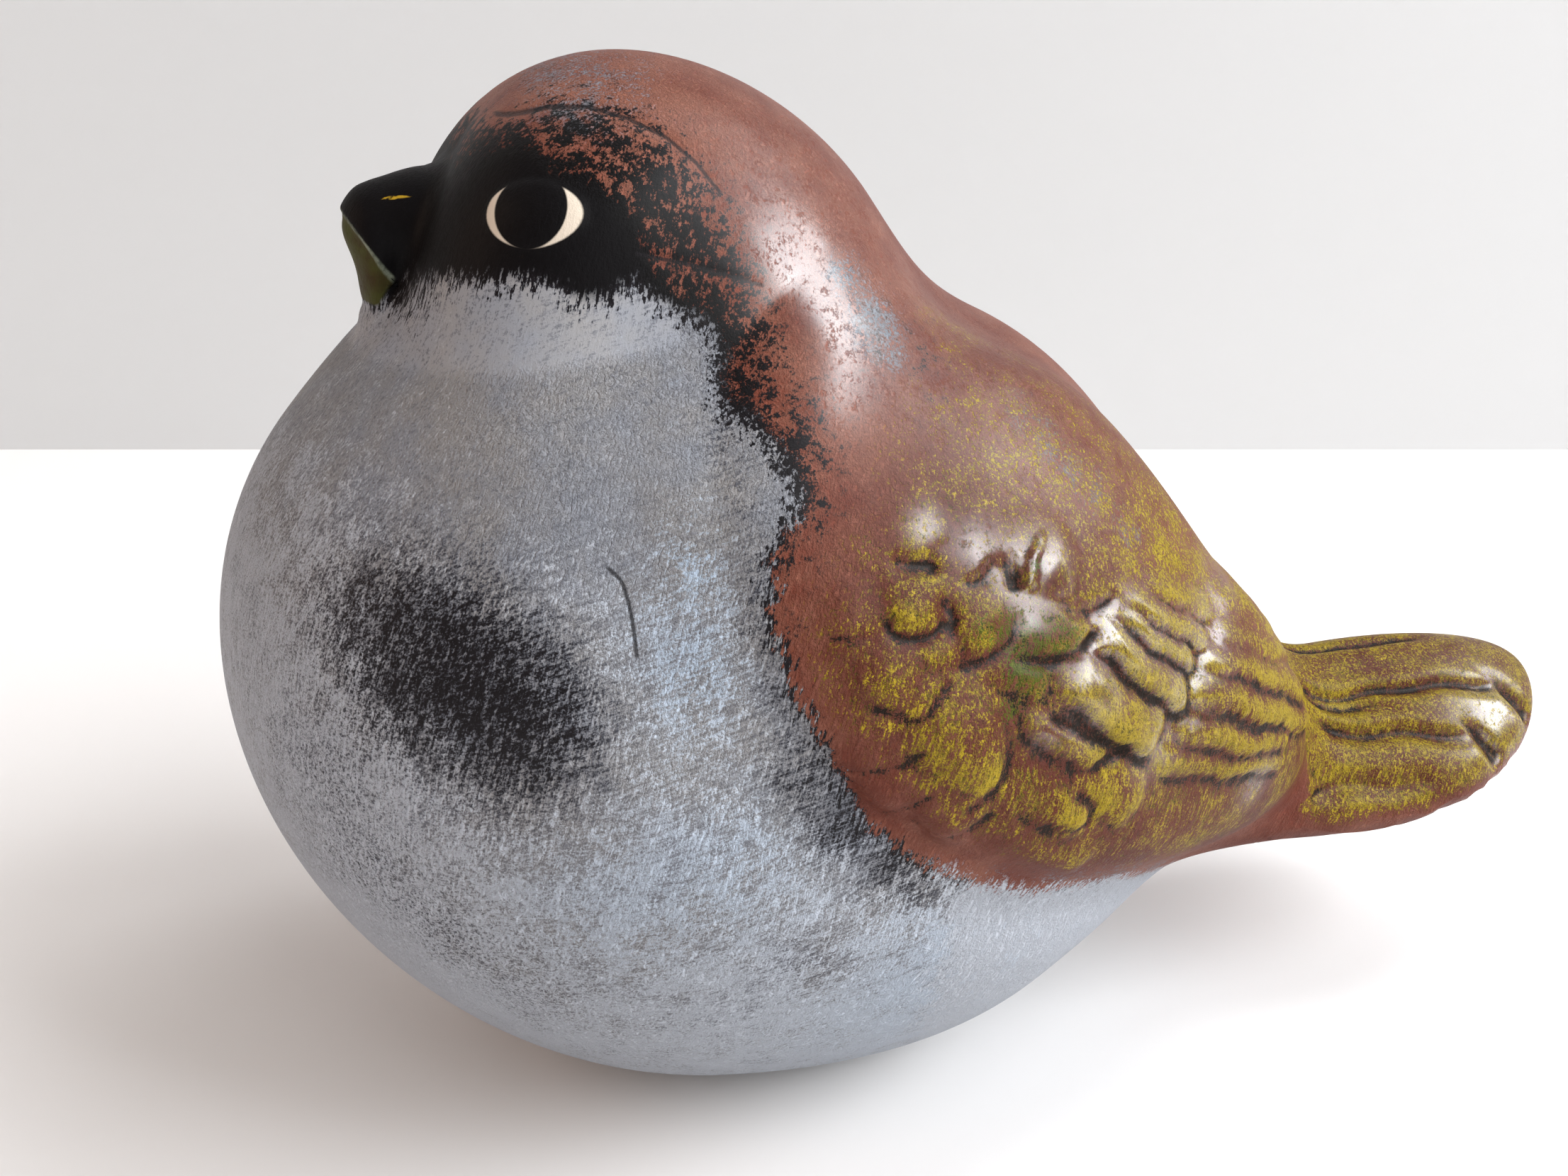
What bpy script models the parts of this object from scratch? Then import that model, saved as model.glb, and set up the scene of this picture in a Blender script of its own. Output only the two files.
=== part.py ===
"""Bird figurine: a plump garden bird, cast in ceramic as one piece, resting on its rounded underside.

Frame, in metres: +X runs to the tail, -Y is the bird's left side and +Z is up. The origin is the middle
of the small flat under the belly. The figure is a free form, so its lumps and its carving are laid out
in parts of its own length: the length from beak to tail is 236 parts, and one part is PART metres.
"""
import math
from typing import NamedTuple

import bmesh
import bpy
import numpy as np

# Driving sizes, in metres
LENGTH = 0.236
EYE_WIDTH = 0.0130
EYE_RISE = 0.0009
MOUTH_STEP = 0.0008
WING_RISE = 0.0045
WING_VALLEY = 0.0016
FEATHER_RISE = 0.0018
BANK_RISE = 0.0022
TAIL_GROOVE_DEPTH = 0.0016

# Resolution of the faceted solid
SAMPLE_SPACING = LENGTH / 136
TRIANGLE_LIMIT = 9700

PARTS_IN_LENGTH = 236
PART = LENGTH / PARTS_IN_LENGTH


class Lump(NamedTuple):
    """One ellipsoid of the body, in parts: its middle, its three radii, its lean and its soft join."""

    x: float
    z: float
    along: float
    deep: float
    half_width: float
    lean: float = 0.0
    join: float = 0.0
    out: float = 0.0


BELLY = Lump(x=-12.1, z=65.7, along=72.7, deep=61.4, half_width=62, lean=-42.2)
BACK = Lump(x=25.8, z=65.6, along=61.6, deep=48.5, half_width=54, lean=-85.6, join=19.6)
HEAD = Lump(x=-6.6, z=132.9, along=37.3, deep=27.5, half_width=33.5, lean=-37.2, join=14)
RUMP = Lump(x=61.4, z=56.6, along=44.3, deep=26.6, half_width=35, lean=-24.2, join=24.3)
NAPE = Lump(x=4.3, z=102.3, along=30, deep=21, half_width=35, lean=-35.4, join=16.5)
THROAT = Lump(x=-16.1, z=110.0, along=34.3, deep=22, half_width=45, lean=-20, join=18)
CHEEK = Lump(x=-26.0, z=135.7, along=18, deep=18, half_width=17, join=12, out=14)
TAIL = Lump(x=111.8, z=44.2, along=42.5, deep=12, half_width=25, lean=3.8, join=10.8)
UPPER_BEAK = Lump(x=-38.2, z=140.5, along=18.7, deep=9, half_width=9.5, lean=-2.2, join=3)
LOWER_BEAK = Lump(x=-52.1, z=134.1, along=3.4, deep=11.9, half_width=8, lean=3, join=3)
LUMPS = (BELLY, BACK, HEAD, RUMP, NAPE, THROAT, CHEEK)

# The tail is a low roof: its halves slope away from a ridge
TAIL_SLOPE = 0.55
TAIL_RIDGE_ROUNDING = 6.0

# Grooves of the tail, in parts: distance from the ridge at each end, then where each starts and ends
TAIL_GROOVE_WIDTH = 1.4
TAIL_GROOVES = (
    (0.0, 0.0, 98.0, 135.0),
    (10.9, 10.4, 101.0, 149.0),
    (15.8, 19.0, 103.0, 139.0),
    (21.4, 23.2, 96.0, 127.0),
)

# The folded wing, seen from the side: an egg with its point at the tail
WING_X = 49.0
WING_Z = 86.7
WING_LEAN = -38.0
WING_REACH = 70.0
WING_HALF_DEPTH = 39.0
WING_TAPER = 0.25
WING_SHOULDER = 15.0
VALLEY_OFFSET = 7.0
VALLEY_WIDTH = 6.0
WING_INNER_EDGE = 12.0
WING_OUTER_EDGE = 34.0

# Where the feathers fade out towards the back and towards the tail, in parts
CARVED_SIDE = (7.0, 20.0)
CARVED_END = (88.0, 100.0)

# The step up to the flight feathers: where it climbs and sinks along the wing, and its lower and upper edges
BANK_CLIMB = (9.5, 19.0)
BANK_SINK = (24.0, 54.0)
BANK_SLANT = 0.12
BANK_LOWER_EDGE = (-19.0, -11.0)
BANK_UPPER_EDGE = (10.0, 16.0)
BANK_EDGE_SLANT = 0.25

# Eye, mouth crease and the line where the beak leaves the face
EYE_INNER_SIDE = 10.0
EYE_X = -31.9
EYE_Z = 146.1
EYE_SHEAR = 0.4
EYE_ASPECT = 0.65
CREASE_X = -56.0
CREASE_Z = 142.9
CREASE_SLOPE = 1.37
BEAK_BASE_X = -44.2
BEAK_BASE_Z = 148.2
BEAK_BASE_SLOPE = 0.42
CHIN_Z = 129.5


def smooth_step(low: float, high: float, value: np.ndarray) -> np.ndarray:
    """Ease from 0 at low to 1 at high."""
    share = np.clip((value - low) / (high - low), 0.0, 1.0)
    return share * share * (3.0 - 2.0 * share)


def soft_union(first: np.ndarray, second: np.ndarray, join: float) -> np.ndarray:
    """Join two distance fields with a fillet about as wide as join."""
    overlap = np.maximum(join - np.abs(first - second), 0.0) / join
    return np.minimum(first, second) - overlap * overlap * join * 0.25


def lump_distance(points: np.ndarray, lump: Lump) -> np.ndarray:
    """Distance from points to one lump, in parts, and negative inside it."""
    lean = math.radians(lump.lean)
    dx = points[:, 0] - lump.x
    dz = points[:, 2] - lump.z
    along = math.cos(lean) * dx + math.sin(lean) * dz
    deep = math.cos(lean) * dz - math.sin(lean) * dx
    across = points[:, 1] - lump.out
    radii = np.array((lump.along, lump.half_width, lump.deep))
    shares = np.stack((along, across, deep), axis=1) / radii
    size = np.linalg.norm(shares, axis=1)
    slope = np.linalg.norm(shares / radii, axis=1)
    return size * (size - 1.0) / np.maximum(slope, 1e-9)


def wing_place(points: np.ndarray) -> tuple[np.ndarray, np.ndarray]:
    """Place on the wing seen from the side, in parts: along it to its point, and up across it."""
    lean = math.radians(WING_LEAN)
    dx = points[:, 0] - WING_X
    dz = points[:, 2] - WING_Z
    along = math.cos(lean) * dx + math.sin(lean) * dz
    across = math.cos(lean) * dz - math.sin(lean) * dx
    return along, across


def wing_pad(points: np.ndarray) -> np.ndarray:
    """How far the folded wing stands out of the flank, in parts, with the soft valley round it."""
    along, across = wing_place(points)
    half_depth = WING_HALF_DEPTH * (1.0 - WING_TAPER * along / WING_REACH)
    half_depth = np.maximum(half_depth, 4.0)
    inside = WING_HALF_DEPTH * (1.0 - np.hypot(along / WING_REACH, across / half_depth))
    shoulder = 1.0 - np.clip(inside / WING_SHOULDER, 0.0, 1.0)
    pad = WING_RISE / PART * (1.0 - shoulder**2)
    valley = WING_VALLEY / PART * np.exp(-(((inside + VALLEY_OFFSET) / VALLEY_WIDTH) ** 2))
    return (pad - valley) * smooth_step(WING_INNER_EDGE, WING_OUTER_EDGE, np.abs(points[:, 1]))


def bird_distance(points: np.ndarray) -> np.ndarray:
    """Distance from points to the smooth bird, in parts, before its feathers are carved."""
    sided = points.copy()
    sided[:, 1] = np.abs(sided[:, 1])
    distance = lump_distance(sided, LUMPS[0])
    for lump in LUMPS[1:]:
        distance = soft_union(distance, lump_distance(sided, lump), lump.join)
    roof = sided.copy()
    ridge = np.hypot(roof[:, 1], TAIL_RIDGE_ROUNDING) - TAIL_RIDGE_ROUNDING
    roof[:, 2] += TAIL_SLOPE * ridge
    distance = soft_union(distance, lump_distance(roof, TAIL), TAIL.join)
    beak = soft_union(lump_distance(sided, UPPER_BEAK), lump_distance(sided, LOWER_BEAK), LOWER_BEAK.join)
    distance = soft_union(distance, beak, UPPER_BEAK.join)
    return distance - wing_pad(sided)


def bird_normals(points: np.ndarray) -> tuple[np.ndarray, np.ndarray]:
    """Outward directions of the distance field, and how steep it is."""
    step = 0.25
    slopes = np.empty_like(points)
    for axis in range(3):
        shift = np.zeros(3)
        shift[axis] = step
        slopes[:, axis] = (bird_distance(points + shift) - bird_distance(points - shift)) / (2 * step)
    steepness = np.maximum(np.linalg.norm(slopes, axis=1), 1e-6)
    return slopes / steepness[:, None], steepness


class Feather(NamedTuple):
    """One carved feather or scale, laid out in parts along and across the wing.

    rise is a share of FEATHER_RISE, start the share of it that the root has, quick the share of the
    length over which the feather climbs, and bow how far its middle sags sideways.
    """

    root: tuple[float, float]
    tip: tuple[float, float]
    root_half: float
    tip_half: float
    rise: float
    quick: float = 0.9
    start: float = 0.1
    bow: float = 0.0


def small_coverts() -> list[Feather]:
    """Soft domes and scales on the front of the wing."""
    return [
        Feather((-42.0, -3.0), (-36.0, -6.5), 6.0, 5.5, 0.5, start=0.3),
        Feather((-34.0, -3.0), (-28.0, -5.5), 5.5, 4.4, 0.6, start=0.4),
        Feather((-24.0, 1.0), (-15.0, -1.8), 5.6, 5.4, 0.85, quick=0.4, start=0.5),
        Feather((-39.0, -9.5), (-34.8, -17.9), 5.4, 5.0, 0.8, start=0.0),
        Feather((-29.5, -6.5), (-24.6, -14.5), 5.0, 5.0, 0.75),
        Feather((-34.0, -15.5), (-28.5, -19.2), 4.0, 3.8, 0.5, start=0.0),
        Feather((-38.5, -18.5), (-31.0, -27.8), 5.6, 5.4, 0.7, start=0.0),
        Feather((-45.0, -15.0), (-40.0, -25.0), 4.6, 4.2, 0.5, start=0.0),
    ]


def middle_coverts() -> list[Feather]:
    """The two coverts whose lower edges face the fingers."""
    return [
        Feather((-25.5, -8.0), (-9.7, -4.6), 5.4, 4.3, 0.85),
        Feather((-22.5, -14.6), (-12.9, -12.2), 3.0, 2.5, 0.7, start=0.3),
    ]


def lower_coverts() -> list[Feather]:
    """The broad scales along the lower edge of the wing."""
    return [
        Feather((-40.0, -30.0), (-20.3, -36.0), 5.0, 5.0, 0.7, start=0.0),
        Feather((-30.0, -31.0), (-9.8, -34.4), 5.0, 5.8, 0.75, start=0.0),
        Feather((-34.0, -22.0), (-12.0, -26.6), 7.0, 8.4, 0.95, start=0.0),
        Feather((-8.0, -33.0), (13.0, -32.0), 3.2, 3.2, 0.45),
        Feather((-11.0, -25.5), (6.0, -25.7), 3.9, 4.1, 0.7),
        Feather((-3.0, -19.5), (14.6, -20.8), 4.0, 4.7, 0.85),
    ]


def fingers() -> list[Feather]:
    """The long fingers side by side in the middle of the wing, whose roots rise in a step."""
    return [
        Feather((-3.0, 11.2), (17.0, 12.2), 2.6, 2.2, 0.6, quick=0.6),
        Feather((-5.0, 7.0), (16.4, 8.0), 2.5, 2.1, 0.85, quick=0.5),
        Feather((-6.2, 3.2), (14.6, 4.0), 2.1, 2.0, 0.95, quick=0.4, bow=0.2),
        Feather((-6.6, 0.6), (12.6, 0.2), 1.8, 1.8, 0.95, quick=0.4, bow=0.2),
        Feather((-9.0, -3.1), (13.2, -4.4), 2.4, 3.0, 1.1, quick=0.3),
        Feather((-12.0, -9.4), (11.8, -10.6), 4.0, 4.0, 1.2, quick=0.3, bow=-0.6),
        Feather((-16.0, -16.4), (2.0, -16.6), 2.1, 2.4, 0.85, quick=0.3, bow=-1.6),
    ]


def flight_feathers() -> list[Feather]:
    """The long feathers that run together at the base of the tail."""
    return [
        Feather((17.0, 10.2), (52.0, 11.8), 2.4, 1.6, 0.35, quick=0.3, start=0.5),
        Feather((16.5, 6.2), (44.0, 9.6), 2.0, 1.2, 0.5, quick=0.2, start=0.5),
        Feather((15.5, 2.5), (61.0, 8.4), 2.3, 1.8, 0.7, quick=0.2, start=0.5),
        Feather((15.0, -1.8), (60.0, 4.9), 2.7, 1.9, 0.85, quick=0.2, start=0.5, bow=-0.6),
        Feather((15.0, -7.6), (43.5, -0.6), 2.1, 1.6, 0.7, quick=0.2, start=0.5, bow=-1.4),
        Feather((12.5, -13.0), (44.5, -3.6), 2.4, 1.5, 0.8, quick=0.2, start=0.5, bow=-1.2),
    ]


def pits() -> list[Feather]:
    """The two hollows among the domes, as feathers that are sunk."""
    return [
        Feather((-40.1, -10.6), (-35.0, -8.4), 1.4, 1.3, 0.55, start=0.7),
        Feather((-27.6, -2.0), (-23.3, -5.6), 2.4, 2.1, 0.8, start=0.8),
    ]


def feather_height(along: np.ndarray, across: np.ndarray, feather: Feather) -> np.ndarray:
    """Height of one feather over the wing, in parts: crowned across, with a rounded step at its tip."""
    run = feather.tip[0] - feather.root[0]
    climb = feather.tip[1] - feather.root[1]
    length = math.hypot(run, climb)
    down = ((along - feather.root[0]) * run + (across - feather.root[1]) * climb) / length
    share = np.clip(down / length, 0.0, 1.0)
    side = ((across - feather.root[1]) * run - (along - feather.root[0]) * climb) / length
    side = side - 4.0 * feather.bow * share * (1.0 - share)
    half = feather.root_half + (feather.tip_half - feather.root_half) * share
    over_tip = np.maximum(down - (length - feather.tip_half), 0.0) / feather.tip_half
    over_root = np.maximum(-down, 0.0) / feather.root_half
    crown = np.clip(1.0 - (side / half) ** 2 - over_tip**2 - over_root**2, 0.0, 1.0)
    climbed = np.sin(0.5 * math.pi * np.clip(share / feather.quick, 0.0, 1.0))
    ramp = feather.start + (1.0 - feather.start) * climbed
    return feather.rise * FEATHER_RISE / PART * crown * ramp


def tier_height(along: np.ndarray, across: np.ndarray, tier: list[Feather]) -> np.ndarray:
    """Height of the feathers of one tier together, in parts."""
    height = np.zeros(len(along))
    for feather in tier:
        height = np.maximum(height, feather_height(along, across, feather))
    return height


def bank_height(along: np.ndarray, across: np.ndarray) -> np.ndarray:
    """Height of the step up to the flight feathers, in parts, which sinks again towards their tips."""
    climb = smooth_step(*BANK_CLIMB, along + BANK_SLANT * across)
    sink = 1.0 - smooth_step(*BANK_SINK, along)
    lower = smooth_step(*BANK_LOWER_EDGE, across - BANK_EDGE_SLANT * along)
    upper = 1.0 - smooth_step(*BANK_UPPER_EDGE, across)
    return BANK_RISE / PART * climb * sink * lower * upper


def wing_relief(points: np.ndarray) -> np.ndarray:
    """Height of the feathers on both wings, in parts."""
    along, across = wing_place(points)
    scales = tier_height(along, across, small_coverts() + middle_coverts() + lower_coverts() + fingers())
    flight = bank_height(along, across) + tier_height(along, across, flight_feathers())
    relief = np.maximum(scales, flight) - tier_height(along, across, pits())
    on_side = smooth_step(*CARVED_SIDE, np.abs(points[:, 1]))
    before_tail = 1.0 - smooth_step(*CARVED_END, points[:, 0])
    return relief * on_side * before_tail


def tail_relief(points: np.ndarray, normals: np.ndarray) -> np.ndarray:
    """Depth of the grooves between the tail feathers, in parts and below zero."""
    x = points[:, 0]
    side = np.abs(points[:, 1])
    relief = np.zeros(len(points))
    for near, far, start, end in TAIL_GROOVES:
        line = near + (far - near) * (x - start) / (end - start)
        groove = np.exp(-(((side - line) / TAIL_GROOVE_WIDTH) ** 2))
        ends = smooth_step(start - 3.0, start + 3.0, x) * (1.0 - smooth_step(end - 6.0, end + 1.0, x))
        relief = np.minimum(relief, -TAIL_GROOVE_DEPTH / PART * groove * ends)
    return relief * smooth_step(0.05, 0.4, normals[:, 2])


def eye_relief(points: np.ndarray) -> np.ndarray:
    """Height of the slightly domed eyes, in parts, square to the eye although the head curves away."""
    radius = 0.5 * EYE_WIDTH / PART
    dz = points[:, 2] - EYE_Z
    dx = points[:, 0] - EYE_X - EYE_SHEAR * dz
    dome = np.clip(1.0 - (dx / radius) ** 2 - (dz / (radius * EYE_ASPECT)) ** 2, 0.0, 1.0)
    return EYE_RISE / PART * np.sqrt(dome) * (np.abs(points[:, 1]) > EYE_INNER_SIDE)


def mouth_relief(points: np.ndarray) -> np.ndarray:
    """Depth of the lower half of the beak under the upper one's edge, in parts and below zero."""
    below = CREASE_Z - points[:, 2] - CREASE_SLOPE * (points[:, 0] - CREASE_X)
    line = BEAK_BASE_X - BEAK_BASE_SLOPE * (BEAK_BASE_Z - points[:, 2])
    on_beak = smooth_step(-1.5, 1.0, np.minimum(line - points[:, 0], points[:, 2] - CHIN_Z))
    return -MOUTH_STEP / PART * smooth_step(-0.5, 0.8, below) * on_beak


def read_points(mesh: bpy.types.Mesh) -> np.ndarray:
    """The mesh's vertices, in parts."""
    flat = np.empty(len(mesh.vertices) * 3)
    mesh.vertices.foreach_get("co", flat)
    return flat.reshape(-1, 3) / PART


def write_points(mesh: bpy.types.Mesh, points: np.ndarray) -> None:
    """Put points, in parts, back into the mesh."""
    mesh.vertices.foreach_set("co", (points * PART).ravel())
    mesh.update()


def baked(source: bpy.types.Object) -> bpy.types.Mesh:
    """A mesh of the object with its modifiers applied."""
    graph = bpy.context.evaluated_depsgraph_get()
    return bpy.data.meshes.new_from_object(source.evaluated_get(graph))


def rough_block() -> bpy.types.Object:
    """The lumps as plain balls in one mesh, fused by a voxel remesh."""
    builder = bmesh.new()
    mirrored_cheek = CHEEK._replace(out=-CHEEK.out)
    for lump in LUMPS + (mirrored_cheek, TAIL, UPPER_BEAK, LOWER_BEAK):
        ball = bmesh.ops.create_uvsphere(builder, u_segments=40, v_segments=24, radius=1.0)["verts"]
        lean = math.radians(lump.lean)
        for vert in ball:
            along = vert.co.x * lump.along
            deep = vert.co.z * lump.deep
            vert.co.x = (lump.x + math.cos(lean) * along - math.sin(lean) * deep) * PART
            vert.co.y = (lump.out + vert.co.y * lump.half_width) * PART
            vert.co.z = (lump.z + math.sin(lean) * along + math.cos(lean) * deep) * PART
    mesh = bpy.data.meshes.new("rough")
    builder.to_mesh(mesh)
    builder.free()
    block = bpy.data.objects.new("rough", mesh)
    bpy.context.scene.collection.objects.link(block)
    remesh = block.modifiers.new("fuse", "REMESH")
    remesh.mode = "VOXEL"
    remesh.voxel_size = SAMPLE_SPACING
    return block


def settle(mesh: bpy.types.Mesh) -> np.ndarray:
    """Move the vertices onto the smooth bird, evenly spread, and return their outward directions."""
    points = read_points(mesh)
    edges = np.empty(len(mesh.edges) * 2, dtype=np.int64)
    mesh.edges.foreach_get("vertices", edges)
    edges = edges.reshape(-1, 2)
    count = np.bincount(edges.ravel(), minlength=len(points)).astype(float)[:, None]
    for _ in range(9):
        normals, steepness = bird_normals(points)
        move = np.clip(bird_distance(points) / steepness, -4.0, 4.0)
        points = points - normals * move[:, None]
        total = np.zeros_like(points)
        np.add.at(total, edges[:, 0], points[edges[:, 1]])
        np.add.at(total, edges[:, 1], points[edges[:, 0]])
        drift = total / count - points
        drift -= normals * np.sum(drift * normals, axis=1)[:, None]
        points = points + 0.5 * drift
    for _ in range(3):
        normals, steepness = bird_normals(points)
        points = points - normals * (bird_distance(points) / steepness)[:, None]
    write_points(mesh, points)
    return bird_normals(points)[0]


def carve(mesh: bpy.types.Mesh, normals: np.ndarray) -> None:
    """Raise the feathers and the eyes, and sink the tail's grooves and the lower half of the beak."""
    points = read_points(mesh)
    height = wing_relief(points) + tail_relief(points, normals) + eye_relief(points) + mouth_relief(points)
    write_points(mesh, points + normals * height[:, None])


def thin_out(figure: bpy.types.Object) -> None:
    """Bring the mesh under the triangle limit, with most triangles where it is carved."""
    triangles = sum(len(face.vertices) - 2 for face in figure.data.polygons)
    thin = figure.modifiers.new("thin", "DECIMATE")
    thin.ratio = min(1.0, TRIANGLE_LIMIT / triangles)
    thin.use_collapse_triangulate = True
    figure.data = baked(figure)
    figure.modifiers.clear()


def cut_foot(mesh: bpy.types.Mesh) -> None:
    """Cut the underside flat at the origin's level, and close the cut with one face."""
    builder = bmesh.new()
    builder.from_mesh(mesh)
    everything = builder.verts[:] + builder.edges[:] + builder.faces[:]
    cut = bmesh.ops.bisect_plane(builder, geom=everything, plane_co=(0, 0, 0), plane_no=(0, 0, -1),
                                 clear_outer=True)["geom_cut"]
    rim = [item for item in cut if isinstance(item, bmesh.types.BMEdge)]
    bmesh.ops.contextual_create(builder, geom=rim)
    bmesh.ops.recalc_face_normals(builder, faces=builder.faces[:])
    builder.to_mesh(mesh)
    builder.free()


def painted_ceramic() -> bpy.types.Material:
    """Semi-gloss varnish over brown and grey paint, as one middle colour."""
    material = bpy.data.materials.new("painted_ceramic")
    material.use_nodes = True
    shader = material.node_tree.nodes["Principled BSDF"]
    shader.inputs["Base Color"].default_value = (0.25, 0.19, 0.16, 1.0)
    shader.inputs["Roughness"].default_value = 0.38
    shader.inputs["Metallic"].default_value = 0.0
    return material


def make_bird() -> bpy.types.Object:
    """The whole figurine as one closed solid."""
    block = rough_block()
    mesh = baked(block)
    bpy.data.objects.remove(block)
    mesh.name = "bird_figurine"
    figure = bpy.data.objects.new("bird_figurine", mesh)
    bpy.context.scene.collection.objects.link(figure)
    carve(mesh, settle(mesh))
    thin_out(figure)
    cut_foot(figure.data)
    figure.data.materials.append(painted_ceramic())
    figure.data.shade_smooth()
    figure.data.set_sharp_from_angle(angle=math.radians(50))
    return figure


for leftover in list(bpy.data.objects):
    bpy.data.objects.remove(leftover)
make_bird()
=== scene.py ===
"""Looks of the plump garden bird: one finely carved and painted ceramic piece in place of the plain solid.

Everything is laid out in parts of the bird's own length, as millimetres at its real size. The piece is
modelled from balls that are fused, drawn onto one smooth form, and then carved and painted.
"""
import logging
import math
from dataclasses import dataclass
from enum import Enum

import bmesh
import bpy
import numpy as np
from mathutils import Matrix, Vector


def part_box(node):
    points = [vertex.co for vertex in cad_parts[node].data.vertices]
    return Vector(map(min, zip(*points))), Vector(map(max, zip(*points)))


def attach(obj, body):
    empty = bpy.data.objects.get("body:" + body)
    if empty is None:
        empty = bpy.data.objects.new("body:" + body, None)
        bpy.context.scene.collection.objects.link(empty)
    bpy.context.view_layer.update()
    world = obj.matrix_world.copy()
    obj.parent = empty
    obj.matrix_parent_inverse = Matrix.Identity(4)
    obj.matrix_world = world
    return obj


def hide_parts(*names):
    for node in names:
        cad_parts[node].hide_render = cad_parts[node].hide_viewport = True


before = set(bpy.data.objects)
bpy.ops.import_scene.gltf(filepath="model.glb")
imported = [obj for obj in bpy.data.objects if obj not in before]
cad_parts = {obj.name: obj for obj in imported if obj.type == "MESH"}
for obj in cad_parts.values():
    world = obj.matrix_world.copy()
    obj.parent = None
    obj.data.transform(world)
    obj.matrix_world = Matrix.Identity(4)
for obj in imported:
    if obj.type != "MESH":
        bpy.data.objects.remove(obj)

log = logging.getLogger("bird")

NODE = "bird_figurine"
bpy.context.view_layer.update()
LOW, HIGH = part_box(NODE)
PARTS_LONG = 234.0
PART = (HIGH[0] - LOW[0]) / PARTS_LONG

# Farther than any drawn line or eye reaches, in the units of its own field
FAR = 9.0
# Turns at the end of settling that draw the mesh onto the form without relaxing it
LAST_STEPS = 2
# Stands in for a distance that isn't measured yet
ENDLESS = 1e9

Path = tuple[tuple[float, float], ...]
Blots = tuple[tuple[float, float, float, float], ...]


def smooth_step(low: float, high: float, value: np.ndarray) -> np.ndarray:
    """Ease from 0 at low to 1 at high.

    Args:
        low: where the ramp starts.
        high: where it ends, and it may be below low.
        value: numbers to ease.

    Returns:
        The eased numbers, from 0 to 1.
    """
    share = np.clip((value - low) / (high - low), 0.0, 1.0)
    return share * share * (3.0 - 2.0 * share)


def soft_union(first: np.ndarray, second: np.ndarray, join: float) -> np.ndarray:
    """Join two distance fields with a fillet about as wide as join.

    Args:
        first: one distance field.
        second: the other.
        join: width of the fillet, in parts.

    Returns:
        The joined field.
    """
    overlap = np.maximum(join - np.abs(first - second), 0.0) / join
    return np.minimum(first, second) - overlap * overlap * join * 0.25


def line_distance(x: np.ndarray, z: np.ndarray, line: Path) -> np.ndarray:
    """Distance to an open line seen from the side.

    Args:
        x: places along the bird, in parts.
        z: heights, in parts.
        line: the line's points in order.

    Returns:
        Distances in parts.
    """
    nearest = np.full(len(x), ENDLESS)
    for (x0, z0), (x1, z1) in zip(line, line[1:]):
        dx, dz = x1 - x0, z1 - z0
        share = np.clip(((x - x0) * dx + (z - z0) * dz) / (dx * dx + dz * dz), 0.0, 1.0)
        nearest = np.minimum(nearest, np.hypot(x - x0 - share * dx, z - z0 - share * dz))
    return nearest


def inside_distance(x: np.ndarray, z: np.ndarray, outline: Path) -> np.ndarray:
    """Distance inside a closed outline seen from the side, and negative outside it.

    Args:
        x: places along the bird, in parts.
        z: heights, in parts.
        outline: the outline's corners in order.

    Returns:
        Signed distances in parts.
    """
    inside = np.zeros(len(x), dtype=bool)
    for (x0, z0), (x1, z1) in zip(outline, outline[1:] + outline[:1]):
        if z0 != z1:
            inside ^= ((z0 > z) != (z1 > z)) & (x < (z - z0) * (x1 - x0) / (z1 - z0) + x0)
    nearest = line_distance(x, z, outline + outline[:1])
    return np.where(inside, nearest, -nearest)


def turned(points: np.ndarray, x: float, z: float, lean: float) -> tuple[np.ndarray, np.ndarray]:
    """Place seen from the side, along and across a leaning direction.

    Args:
        points: places in parts, one a row.
        x: where along starts.
        z: where across starts.
        lean: degrees that the direction rises from the bird's length.

    Returns:
        How far along, and how far up across it.
    """
    lean = math.radians(lean)
    dx = points[:, 0] - x
    dz = points[:, 2] - z
    return math.cos(lean) * dx + math.sin(lean) * dz, math.cos(lean) * dz - math.sin(lean) * dx


@dataclass(frozen=True)
class Lump:
    """One ellipsoid of the body, in parts: its middle, three radii, lean in degrees and soft join."""

    x: float
    z: float
    along: float
    deep: float
    half_width: float
    lean: float = 0.0
    join: float = 0.0
    out: float = 0.0

    def distance(self, points: np.ndarray) -> np.ndarray:
        """Distance to the lump.

        Args:
            points: places in parts, one a row.

        Returns:
            Distances in parts, negative inside.
        """
        along, deep = turned(points, self.x, self.z, self.lean)
        across = points[:, 1] - self.out
        radii = np.array((self.along, self.half_width, self.deep))
        shares = np.stack((along, across, deep), axis=1) / radii
        size = np.linalg.norm(shares, axis=1)
        slope = np.linalg.norm(shares / radii, axis=1)
        return size * (size - 1.0) / np.maximum(slope, 1e-9)


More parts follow.
